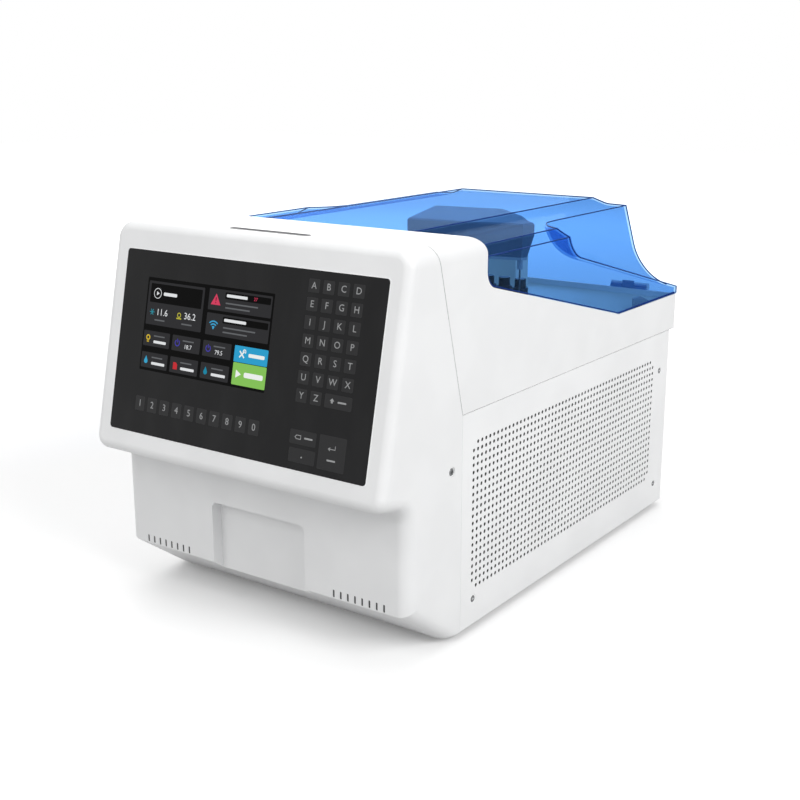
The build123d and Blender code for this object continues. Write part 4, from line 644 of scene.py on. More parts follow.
SLOT_FINISHES: dict[str, Finish] = {
    finish.name: finish
    for finish in (
        WHITE_COVER,
        WHITE_SHEET,
        BLACK_GLASS,
        BLUE_LID,
        BRIGHT_STEEL,
        PowderCoat("grey_metal", (0.45, 0.46, 0.47)),
        # Painted light: the deck's warm colour makes up for the blue-tinted light that reaches it
        # through the lid.
        PowderCoat("deck_metal", (0.74, 0.68, 0.57), 0.35),
        PowderCoat("black_metal", (0.03, 0.03, 0.033)),
        PowderCoat("motor_black", (0.035, 0.035, 0.038), 0.35),
        CircuitLaminate("circuit_board"),
        MouldedPlastic("dark_plastic", (0.03, 0.03, 0.032), 0.4),
        MouldedPlastic("pale_plastic", (0.66, 0.67, 0.68), 0.38),
        MouldedPlastic("grey_plastic", (0.27, 0.275, 0.29), 0.35),
        ClearPlastic("clear_plastic", (0.82, 0.86, 0.9)),
        MouldedPlastic("bottle_plastic", (0.1, 0.1, 0.105), 0.3),
        MouldedPlastic("rocker_plastic", (0.42, 0.02, 0.02), 0.3, coat=0.4),
        PlainPaper("paper", (0.86, 0.86, 0.84)),
        SoftRubber("black_rubber", (0.02, 0.02, 0.02)),
    )
}

NODE_FINISHES: dict[str, Finish] = {
    "probe_needle": DARK_STEEL,
    "arm_cover": ARM_GREY,
    "hinge_leaves_fixed": HINGE_PAINT,
    "hinge_leaves_lid": HINGE_PAINT,
    "fluid_tower": PAINTED_LIGHT_PLASTIC,
}


@dataclass(frozen=True)
class PanelFrame:
    """The tilted plane of the touch glass, with x across and t up the slope from its lower edge."""

    tilt: float = radians(12.4)
    thickness: float = 3 * MM

    @property
    def origin(self) -> Vector:
        """The middle of the glass's lower outer edge."""
        low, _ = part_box("touch_glass")
        return Vector((0, low.y, low.z + self.thickness * sin(self.tilt)))

    def matrix(self, x: float, t: float, out: float) -> Matrix:
        """The placement of a piece at x, t and that far out of the glass."""
        across = Vector((1, 0, 0))
        up = Vector((0, sin(self.tilt), cos(self.tilt)))
        outward = Vector((0, -cos(self.tilt), sin(self.tilt)))
        turn = Matrix((across, up, outward)).transposed()
        return placement(turn, self.origin + across * x + up * t + outward * out)


class Modeller:
    """Makes meshes, dresses them and lets them ride on a body."""

    @staticmethod
    def add(name: str, mesh: Mesh, finish: Finish, body: Body, smooth: float | None = None) -> Piece:
        """Turns a finished mesh into a piece of the object.

        Args:
            name: The piece's name.
            mesh: The geometry, in the object's frame.
            finish: What it is dressed with.
            body: The body that it moves with.
            smooth: The angle in degrees up to which edges are smooth, or None for flat faces.

        Returns:
            The new piece.
        """
        data = bpy.data.meshes.new(name)
        bmesh.ops.recalc_face_normals(mesh, faces=mesh.faces[:])
        mesh.to_mesh(data)
        mesh.free()
        if smooth is not None:
            data.polygons.foreach_set("use_smooth", [True] * len(data.polygons))
            data.set_sharp_from_angle(angle=radians(smooth))
        return Modeller.settle(name, data, finish, body)

    @staticmethod
    def settle(name: str, data: bpy.types.Mesh, finish: Finish, body: Body) -> Piece:
        """Makes a mesh into a piece, dresses it and lets it ride on its body."""
        piece = bpy.data.objects.new(name, data)
        bpy.context.scene.collection.objects.link(piece)
        finish.dress(piece)
        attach(piece, body.value)
        return piece

    @staticmethod
    def rounded(width: float, height: float, radius: float, steps: int = 6) -> list[Point]:
        """The outline of a rectangle with round corners.

        Args:
            width: Its size along x.
            height: Its size along t.
            radius: The corners' radius.
            steps: The parts of each corner.

        Returns:
            Points in order, around the middle.
        """
        points = []
        for corner, (across, up) in enumerate(((1, 1), (-1, 1), (-1, -1), (1, -1))):
            middle = (across * (width / 2 - radius), up * (height / 2 - radius))
            for step in range(steps + 1):
                angle = (corner + step / steps) * pi / 2
                points.append((middle[0] + radius * cos(angle), middle[1] + radius * sin(angle)))
        return points

    @staticmethod
    def disc(radius: float, steps: int = 32) -> list[Point]:
        """The points of a circle, in order."""
        angles = [2 * pi * n / steps for n in range(steps)]
        return [(radius * cos(angle), radius * sin(angle)) for angle in angles]

    @staticmethod
    def plate(outline: Sequence[Point], thickness: float, place: Matrix, edge: float = 0.0) -> Mesh:
        """A flat plate on its outline, with a sloped edge around its upper face.

        Args:
            outline: Its points, in order.
            thickness: Its height out of the plane.
            place: Where the plane lies.
            edge: The width of the sloped edge.

        Returns:
            The mesh.
        """
        mesh = bmesh.new()
        reach = max(hypot(x, y) for x, y in outline)

        def loop(height: float, shrink: float = 1.0) -> list[Vert]:
            """The outline at one height."""
            return [
                mesh.verts.new(place @ Vector((x * shrink, y * shrink, height))) for x, y in outline
            ]

        foot = loop(0)
        mesh.faces.new(foot)
        shoulder = foot
        if edge:
            shoulder = loop(thickness - edge)
            Modeller.skirt(mesh, foot, shoulder)
        top = loop(thickness, 1 - edge / reach)
        Modeller.skirt(mesh, shoulder, top)
        mesh.faces.new(list(reversed(top)))
        return mesh

    @staticmethod
    def skirt(mesh: Mesh, first: Sequence[Vert], second: Sequence[Vert]) -> None:
        """Joins two closed rings of equal length with faces."""
        for n in range(len(first)):
            after = (n + 1) % len(first)
            mesh.faces.new((first[n], first[after], second[after], second[n]))

    @staticmethod
    def ring_edges(mesh: Mesh, rings: Iterable[Sequence[Vert]]) -> list[Edge]:
        """The edges of closed rings, made where they are missing."""
        return [
            mesh.edges.get(pair) or mesh.edges.new(pair)
            for ring in rings
            for pair in zip(ring, [*ring[1:], ring[0]])
        ]

    @staticmethod
    def ring(outer: Sequence[Point], inner: Sequence[Point], thickness: float, place: Matrix) -> Mesh:
        """A flat frame between two outlines of equal length."""
        mesh = bmesh.new()
        rings = [
            [mesh.verts.new(place @ Vector((x, y, height))) for x, y in outline]
            for outline, height in ((outer, 0), (outer, thickness), (inner, thickness), (inner, 0))
        ]
        for first, second in zip(rings, rings[1:] + rings[:1]):
            Modeller.skirt(mesh, first, second)
        return mesh

    @staticmethod
    def words(
        name: str, text: str, height: float, place: Matrix, finish: Finish, thickness: float = 0.02 * MM
    ) -> Piece:
        """A plain sign of letters or numbers as a mesh.

        Args:
            name: The piece's name.
            text: The sign.
            height: The height of its capitals.
            place: The middle of the sign.
            finish: What it is dressed with.
            thickness: How far it stands out.

        Returns:
            The new piece.
        """
        curve = bpy.data.curves.new(name, "FONT")
        curve.body = text
        curve.align_x = "CENTER"
        curve.align_y = "CENTER"
        curve.size = height / CAPITAL_SHARE
        curve.extrude = thickness
        curve.resolution_u = 3
        return Modeller.from_curve(curve, place, finish, Body.CASE)

    @staticmethod
    def from_curve(curve: bpy.types.Curve, place: Matrix, finish: Finish, body: Body) -> Piece:
        """Turns a curve into a piece.

        Args:
            curve: The curve, whose name the piece takes.
            place: Where it stands.
            finish: What it is dressed with.
            body: The body that it moves with.

        Returns:
            The new piece.
        """
        carrier = bpy.data.objects.new(curve.name + "_curve", curve)
        bpy.context.scene.collection.objects.link(carrier)
        bpy.context.view_layer.update()
        data = bpy.data.meshes.new_from_object(carrier)
        bpy.data.objects.remove(carrier)
        data.name = curve.name
        data.transform(place)
        data.materials.clear()
        return Modeller.settle(curve.name, data, finish, body)

    @staticmethod
    def joined(name: str, pieces: Sequence[Piece]) -> Piece:
        """Joins pieces of one finish and one body into a single piece."""
        mesh = bmesh.new()
        for piece in pieces:
            mesh.from_mesh(piece.data)
        first = pieces[0]
        mesh.to_mesh(first.data)
        mesh.free()
        for piece in pieces[1:]:
            bpy.data.objects.remove(piece)
        first.name = name
        return first


@dataclass
class SlotShadeLiner:
    """The grey lining of the paper slot, with a low lip above the top of the front cover. Its grey is
    painted shade that stands in for the shaded inside of the slot.
    """

    length: float = 93.0 * MM
    width: float = 8.0 * MM
    setback: float = 64.0 * MM
    lip: float = 0.45 * MM
    depth: float = 3.2 * MM
    wall: float = 0.7 * MM
    play: float = 0.05 * MM
    corner_steps: int = 10

    def outline(self, inset: float) -> list[Point]:
        """The slot's outline, that far inside it."""
        length, width = self.length - 2 * inset, self.width - 2 * inset
        return Modeller.rounded(length, width, width / 2 - self.play, self.corner_steps)

    def build(self) -> None:
        """Lines the slot."""
        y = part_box("touch_glass")[0].y + self.setback
        place = Matrix.Translation((0, y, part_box("front_fascia")[1].z + self.lip - self.depth))
        mesh = Modeller.ring(self.outline(self.play), self.outline(self.wall), self.depth, place)
        Modeller.add("slot_shade_liner", mesh, SLOT_SHADE, Body.CASE, smooth=30)
        log.info("slot liner: %.0f mm long", self.length / MM)


@dataclass
class VentShadeMesh:
    """A dark dust mesh filling the two rows of slots in the lower front face; its dark colour is
    painted shade that stands in for the shade inside the slots.
    """

    setback: float = 35.0 * MM
    count: int = 8
    pitch: float = 7.94 * MM
    length: float = 7.5 * MM
    width: float = 2.1 * MM
    height: float = 47.5 * MM
    middle: float = 117.1 * MM
    play: float = 0.05 * MM
    sink: float = 0.5 * MM
    depth: float = 1.5 * MM

    def build(self) -> None:
        """Fills every slot, a little below the face."""
        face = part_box("touch_glass")[0].y + self.setback
        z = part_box("side_panel_right")[0].z + self.height
        outline = Modeller.rounded(
            self.width - 2 * self.play, self.length - 2 * self.play, self.width / 2 - 2 * self.play
        )
        turn = ((1, 0, 0), (0, 0, -1), (0, 1, 0))
        pieces = []
        for side in Side:
            for n in range(self.count):
                x = side.value * self.middle + (n - (self.count - 1) / 2) * self.pitch
                place = placement(turn, (x, face + self.sink + self.depth, z))
                mesh = Modeller.plate(outline, self.depth, place)
                name = f"vent_mesh_{side.name}_{n}"
                pieces.append(Modeller.add(name, mesh, VENT_SHADE_MESH, Body.CASE))
        Modeller.joined("vent_mesh", pieces)
        log.info("vent mesh: %d slots", len(pieces))


@dataclass
class GlassRimHighlight:
    """A thin pale ring on the front cover around the touch glass: a painted highlight that stands in
    for the light caught by the cover's edge.
    """

    panel: PanelFrame
    size: Point = (303.2 * MM, 170.1 * MM)
    corner: float = 3.0 * MM
    gap: float = 0.3 * MM
    width: float = 0.9 * MM
    rise: float = 0.15 * MM

    def build(self) -> None:
        """Lays the rim on the cover."""
        outlines = [
            Modeller.rounded(self.size[0] + 2 * grow, self.size[1] + 2 * grow, self.corner + grow)
            for grow in (self.gap + self.width, self.gap)
        ]
        place = self.panel.matrix(0, self.size[1] / 2, -self.rise)
        mesh = Modeller.ring(*outlines, 2 * self.rise, place)
        Modeller.add("glass_rim_highlight", mesh, GLASS_RIM_HIGHLIGHT, Body.CASE)
        log.info("glass rim: %.0f mm wide", self.size[0] / MM)


UP_ARROW = ((0, 2.6), (2.4, 0.2), (1.0, 0.2), (1.0, -1.6), (-1.0, -1.6), (-1.0, 0.2), (-2.4, 0.2))
ERASE_RIM = ((-3.6, 0), (-1.6, 1.9), (3.4, 1.9), (3.4, -1.9), (-1.6, -1.9))
ERASE_HOLE = ((-2.7, 0), (-1.2, 1.3), (2.8, 1.3), (2.8, -1.3), (-1.2, -1.3))
ENTER_HEAD = ((-4.6, 0.27), (-2.2, 2.0), (-2.2, -1.5))
ENTER_FOOT = ((-3.2, 0), (3.4, 0), (3.4, 0.55), (-3.2, 0.55))
ENTER_STEM = ((2.85, 0.55), (3.4, 0.55), (3.4, 3.55), (2.85, 3.55))


@dataclass
class KeyPad:
    """The printed keys on the glass: letters, digits and the wide keys beside them."""

    panel: PanelFrame
    key: Point = (12.0 * MM, 11.6 * MM)
    radius: float = 1.3 * MM
    rise: float = 0.12 * MM
    edge_share: float = 0.7
    ink: float = 0.03 * MM
    legend: float = 5.8 * MM
    digit_legend: float = 6.2 * MM
    letter_x: float = 74.6 * MM
    letter_t: float = 157.2 * MM
    letter_pitch: Point = (15.75 * MM, 15.6 * MM)
    digit_x: float = -115.1 * MM
    digit_t: float = 28.0 * MM
    digit_pitch: float = 15.68 * MM
    digit_key: Point = (12.2 * MM, 13.6 * MM)
    columns: int = 4
    shift: Point = (114.2 * MM, 63.7 * MM)
    shift_key: Point = (28.7 * MM, 11.8 * MM)
    erase: Point = (81.7 * MM, 28.3 * MM)
    point: Point = (82.4 * MM, 12.7 * MM)
    wide_key: Point = (28.6 * MM, 12.3 * MM)
    enter: Point = (113.9 * MM, 20.3 * MM)
    enter_key: Point = (28.7 * MM, 29.3 * MM)
    enter_rise: float = 3.4
    erase_shift: float = -5.5

    def cap(self, name: str, middle: Point, size: Point) -> Piece:
        """One key as a thin rounded tile."""
        outline = Modeller.rounded(*size, self.radius)
        place = self.panel.matrix(*middle, 0)
        mesh = Modeller.plate(outline, self.rise, place, self.rise * self.edge_share)
        return Modeller.add(name, mesh, KEY_FACE, Body.CASE)

    def on_key(self, key: Point, right: float, up: float) -> Matrix:
        """The placement of a sign beside a key's middle, by millimetres."""
        return self.panel.matrix(key[0] + right * MM, key[1] + up * MM, self.rise)

    def keys(
        self, kind: str, signs: str, middles: Sequence[Point], size: Point, height: float
    ) -> None:
        """Makes a group of keys, each with its sign.

        Args:
            kind: The group's name.
            signs: One sign for each key.
            middles: The keys' middles.
            size: A key's width and height.
            height: The height of a sign.
        """
        caps, legends = [], []
        for sign, middle in zip(signs, middles):
            caps.append(self.cap(f"key_{sign}", middle, size))
            place = self.on_key(middle, 0, 0)
            legends.append(Modeller.words(f"legend_{sign}", sign, height, place, KEY_LEGEND))
        Modeller.joined(f"{kind}_keys", caps)
        Modeller.joined(f"{kind}_legends", legends)

    def letters(self) -> None:
        """The letters, four to a row."""
        across, down = self.letter_pitch
        middles = [
            (self.letter_x + across * (n % self.columns), self.letter_t - down * (n // self.columns))
            for n in range(len(ascii_uppercase))
        ]
        self.keys("letter", ascii_uppercase, middles, self.key, self.legend)

    def digits(self) -> None:
        """The row of digits under the screen."""
        signs = "1234567890"
        middles = [(self.digit_x + self.digit_pitch * n, self.digit_t) for n in range(len(signs))]
        self.keys("digit", signs, middles, self.digit_key, self.digit_legend)

    def wide_keys(self) -> None:
        """The wide keys, each with a plain sign in place of its word."""
        caps = [
            self.cap("key_shift", self.shift, self.shift_key),
            self.cap("key_erase", self.erase, self.wide_key),
            self.cap("key_point", self.point, self.wide_key),
            self.cap("key_enter", self.enter, self.enter_key),
        ]
        Modeller.joined("wide_keys", caps)
        bar = Modeller.rounded(9 * MM, 1.5 * MM, 0.5 * MM, 3)
        dot = Modeller.disc(0.8 * MM, 16)
        signs = []
        for name, outline, key, right, up in (
            ("sign_up", in_metres(UP_ARROW), self.shift, -6.5, 0),
            ("sign_up_bar", bar, self.shift, 4, 0),
            ("sign_erase_bar", bar, self.erase, 6, 0),
            ("sign_point", dot, self.point, 0, -1),
            ("sign_enter_bar", bar, self.enter, 0, -6),
            ("sign_enter_foot", in_metres(ENTER_FOOT), self.enter, 0, self.enter_rise),
            ("sign_enter_stem", in_metres(ENTER_STEM), self.enter, 0, self.enter_rise),
            ("sign_enter_head", in_metres(ENTER_HEAD), self.enter, 0, self.enter_rise),
        ):
            mesh = Modeller.plate(outline, self.ink, self.on_key(key, right, up))
            signs.append(Modeller.add(name, mesh, KEY_LEGEND, Body.CASE))
        place = self.on_key(self.erase, self.erase_shift, 0)
        mesh = Modeller.ring(in_metres(ERASE_RIM), in_metres(ERASE_HOLE), self.ink, place)
        signs.append(Modeller.add("sign_erase", mesh, KEY_LEGEND, Body.CASE))
        Modeller.joined("wide_key_signs", signs)

    def build(self) -> None:
        """Makes all the keys."""
        self.letters()
        self.digits()
        self.wide_keys()
        log.info("keypad: %d letters, 10 digits and 4 wide keys", len(ascii_uppercase))


@dataclass(frozen=True)
class Tile:
    """One tile of the screen, by its left, right, lower and upper edges in millimetres."""

    left: float
    right: float
    low: float
    high: float

    @property
    def middle(self) -> Point:
        """The tile's middle, in metres."""
        return (self.left + self.right) / 2 * MM, (self.low + self.high) / 2 * MM

    @property
    def size(self) -> Point:
        """The tile's width and height, in metres."""
        return (self.right - self.left) * MM, (self.high - self.low) * MM


@dataclass
class LitScreen:
    """The lit picture: tiles, bars, plain numbers and simple signs."""

    panel: PanelFrame
    picture: Tile = Tile(-121.0, 33.2, 59.6, 146.0)
    radius: float = 0.9 * MM
    step: float = 0.03 * MM
    fill: float = 0.8
    bar_corner: float = 0.3
    arc_steps: int = 20
    drop_steps: int = 18
    drop_tip: float = 2.2
    black: ScreenInk = ScreenInk("screen_black", srgb("020202"), 0.6)
    grey: ScreenInk = ScreenInk("screen_grey", srgb("2E2E30"), 0.9)
    text: ScreenInk = ScreenInk("screen_text", srgb("E8EAEC"), 0.9)
    dim: ScreenInk = ScreenInk("screen_dim", srgb("6A6C6F"), 0.8)
    pieces: dict[str, list[Piece]] = field(default_factory=dict)

    def lay(self, outline: Sequence[Point], x: float, t: float, layer: int, ink: ScreenInk) -> None:
        """Lays a flat shape on the screen.

        Args:
            outline: Its points around its middle, in metres.
            x: Its middle across the glass, in millimetres.
            t: Its middle up the glass, in millimetres.
            layer: How many layers lie below it.
            ink: Its colour.
        """
        place = self.panel.matrix(x * MM, t * MM, self.step * layer)
        mesh = Modeller.plate(outline, self.step * self.fill, place)
        group = self.pieces.setdefault(ink.name, [])
        group.append(Modeller.add(f"{ink.name}_{len(group)}", mesh, ink, Body.CASE))

    def tile(self, tile: Tile, layer: int, ink: ScreenInk) -> None:
        """Lays a rounded tile."""
        outline = Modeller.rounded(*tile.size, self.radius, 4)
        self.lay(outline, tile.middle[0] / MM, tile.middle[1] / MM, layer, ink)

    def bar(self, x: float, t: float, length: float, height: float, ink: ScreenInk) -> None:
        """Lays a short bar that stands for a word, by its left end."""
        outline = Modeller.rounded(length * MM, height * MM, height * self.bar_corner * MM, 3)
        self.lay(outline, x + length / 2, t, TOP_LAYER, ink)

    def number(self, text: str, x: float, t: float, height: float, ink: ScreenInk) -> None:
        """Lays a plain number."""
        place = self.panel.matrix(x * MM, t * MM, self.step * TOP_LAYER)
        group = self.pieces.setdefault(ink.name, [])
        name = f"{ink.name}_number_{len(group)}"
        thickness = self.step * self.fill / 2
        group.append(Modeller.words(name, text, height * MM, place, ink, thickness))

    def arc(
        self,
        x: float,
        t: float,
        radius: float,
        width: float,
        sweep: Point,
        ink: ScreenInk,
        layer: int = TOP_LAYER,
    ) -> None:
        """Lays an arc or a ring.

        Args:
            x: Its centre across the glass, in millimetres.
            t: Its centre up the glass, in millimetres.
            radius: Its outer radius, in millimetres.
            width: Its width, in millimetres.
            sweep: Its first and last angle in degrees.
            ink: Its colour.
            layer: How many layers lie below it.
        """
        first, last = sweep
        steps = self.arc_steps
        angles = [radians(first + (last - first) * n / steps) for n in range(steps + 1)]
        outer, inner = (
            [(reach * cos(angle), reach * sin(angle)) for angle in angles]
            for reach in (radius, radius - width)
        )
        self.shape(outer + inner[::-1], x, t, ink, layer)

    def shape(
        self, points: Sequence[Point], x: float, t: float, ink: ScreenInk, layer: int = TOP_LAYER
    ) -> None:
        """Lays a shape given in millimetres."""
        self.lay(in_metres(points), x, t, layer, ink)

    def stroke(
        self,
        lean: float,
        span: Point,
        half: float,
        x: float,
        t: float,
        ink: ScreenInk,
        layer: int = TOP_LAYER,
    ) -> None:
        """Lays a straight stroke.

        Args:
            lean: Its angle, in radians.
            span: Where along that angle it starts and ends, in millimetres.
            half: Half of its width, in millimetres.
            x: The place across the glass that it is measured from, in millimetres.
            t: That place up the glass, in millimetres.
            ink: Its colour.
            layer: How many layers lie below it.
        """
        a, b = cos(lean), sin(lean)
        start, end = span
        corners = ((start, half), (end, half), (end, -half), (start, -half))
        self.shape([(a * s - b * w, b * s + a * w) for s, w in corners], x, t, ink, layer)

    def drop(self, x: float, t: float, size: float, ink: ScreenInk) -> None:
        """Lays a drop with a pointed top."""
        last = self.drop_steps - 1
        angles = [radians(60) - radians(300) * n / last for n in range(1, last)]
        belly = [(size * cos(angle), size * sin(angle)) for angle in angles]
        self.shape([(0, size * self.drop_tip), *belly], x, t, ink)

    def state_tile(self) -> None:
        """The large tile with the state and the two readings."""
        cool = ScreenInk("screen_cool", srgb("2F9DB0"))
        warm = ScreenInk("screen_warm", srgb("C9C244"))
        self.tile(Tile(-119.2, -48.8, 102.4, 142.8), 1, self.grey)
        self.tile(Tile(-116.4, -51.3, 123.2, 140.6), 2, self.black)
        self.arc(-107.2, 131.8, 4.9, 0.6, FULL_TURN, self.text)
        self.shape([(-1.3, 1.9), (2.0, 0), (-1.3, -1.9)], -107.0, 131.8, self.text)
        self.bar(-99.5, 131.9, 17.0, 3.0, self.text)
        spokes = 6
        for n in range(spokes):
            self.stroke(2 * pi * n / spokes, (0, 3), 0.35, -112.0, 114.2, cool)
        self.number("11.6", -99.3, 114.4, 6.0, self.text)
        self.bar(-80.5, 111.7, 6.2, 1.2, warm)
        self.arc(-77.4, 114.8, 2.4, 0.9, FULL_TURN, warm)
        self.number("36.2", -64.0, 114.6, 6.0, self.text)
        for x in (-108.0, -73.5):
            self.bar(x, 107.2, 13.0, 1.3, self.dim)

    def notice_tiles(self) -> None:
        """The two large tiles beside it, with a warning and a network sign."""
        alarm = ScreenInk("screen_alarm", srgb("E8476A"))
        signal = ScreenInk("screen_signal", srgb("45B4E6"))
        for low, high in ((124.3, 143.4), (101.9, 121.6)):
            self.tile(Tile(-43.2, 31.1, low, high), 1, self.grey)
            self.tile(Tile(-23.7, 29.5, high - 7.8, high - 1.9), 2, self.black)
        for t, length in ((131.8, 38.0), (127.8, 29.0), (110.0, 38.0), (106.0, 29.0)):
            self.bar(-22.4, t, length, 1.3, self.dim)
        for t, length in ((138.6, 24.5), (116.8, 26.0)):
            self.bar(-22.0, t, length, 2.6, self.text)
        self.shape([(0, 5.6), (5.9, -4.5), (-5.9, -4.5)], -34.3, 133.6, alarm)
        mark = [(-0.5, 2.4), (0.5, 2.4), (0.35, -1.0), (-0.35, -1.0)]
        dot = [(-0.45, 0.45), (0.45, 0.45), (0.45, -0.45), (-0.45, -0.45)]
        self.shape(mark, -34.3, 133.4, self.black, TOP_LAYER + 1)
        self.shape(dot, -34.3, 131.0, self.black, TOP_LAYER + 1)
        self.number("27", 12.0, 138.6, 3.0, alarm)
        for radius in (7.4, 4.9, 2.5):
            self.arc(-34.2, 107.6, radius, 1.2, (45, 135), signal)
        self.shape(Modeller.disc(0.9, 16), -34.2, 108.1, signal)

    def small_tiles(self) -> None:
        """The six small tiles, each with a sign and a bar or a number."""
        yellow = ScreenInk("screen_yellow", srgb("E3C23A"))
        violet = ScreenInk("screen_violet", srgb("4C44B4"))
        water = ScreenInk("screen_water", srgb("3FB3DF"))
        red = ScreenInk("screen_red", srgb("D8343C"))
        teal = ScreenInk("screen_teal", srgb("1F93B4"))
        for left, right in ((-119.6, -86.0), (-82.5, -47.6), (-44.0, -9.8)):
            for low, high in ((82.4, 96.6), (62.2, 76.6)):
                self.tile(Tile(left, right, low, high), 1, self.grey)
                self.bar(left + 13.0, high - 4.3, 14.0, 1.2, self.dim)
        self.arc(-113.6, 90.3, 2.7, 1.3, FULL_TURN, yellow)
        self.bar(-115.0, 86.6, 2.8, 1.1, yellow)
        for x in (-75.9, -37.4):
            self.arc(x, 89.6, 3.2, 1.0, (120, 420), violet)
            self.shape([(-0.4, 3.8), (0.4, 3.8), (0.4, 0.3), (-0.4, 0.3)], x, 89.6, violet)
        self.bar(-106.3, 86.9, 16.0, 2.5, self.text)
        self.number("18.7", -62.4, 87.0, 3.9, self.text)
        self.number("79.5", -24.4, 87.0, 3.9, self.text)
        self.drop(-113.6, 68.2, 2.3, water)
        self.drop(-37.9, 68.2, 2.3, teal)
        flask = [(-2.6, 3.0), (0.8, 3.0), (2.6, 1.2), (2.6, -3.4), (-2.6, -3.4)]
        self.shape(flask, -75.7, 68.7, red)
        for x in (-106.3, -68.9, -30.7):
            self.bar(x, 66.9, 17.0, 2.5, self.text)

    def action_tiles(self) -> None:
        """The blue and the green tile at the lower right, with a tool sign and a start sign."""
        blue = ScreenInk("screen_blue", srgb("2FA6D6"), 0.85)
        green = ScreenInk("screen_green", srgb("8CCB5E"), 0.85)
        white = ScreenInk("screen_white", srgb("F4F7F4"), 0.9)
        self.tile(Tile(-5.8, 33.1, 82.2, 96.7), 1, blue)
        self.tile(Tile(-5.6, 33.2, 62.0, 81.7), 1, green)
        for layer, lean in ((TOP_LAYER, radians(45)), (TOP_LAYER - 1, radians(-45))):
            self.stroke(lean, (-4.0, 4.0), 0.65, 3.2, 89.4, white, layer)
        self.arc(6.0, 92.2, 2.0, 0.9, (-60, 200), white, TOP_LAYER + 1)
        self.bar(11.0, 89.4, 18.5, 3.2, white)
        self.shape([(-2.4, 3.6), (3.8, 0), (-2.4, -3.6)], 0.8, 71.8, white)
        self.bar(8.0, 71.8, 22.0, 4.6, white)

    def build(self) -> None:
        """Makes the whole picture and joins the shapes of each ink."""
        self.tile(self.picture, 0, self.black)
        self.state_tile()
        self.notice_tiles()
        self.small_tiles()
        self.action_tiles()
        for ink, group in self.pieces.items():
            Modeller.joined(ink + "_shapes", group)
        log.info("screen: %d inks", len(self.pieces))


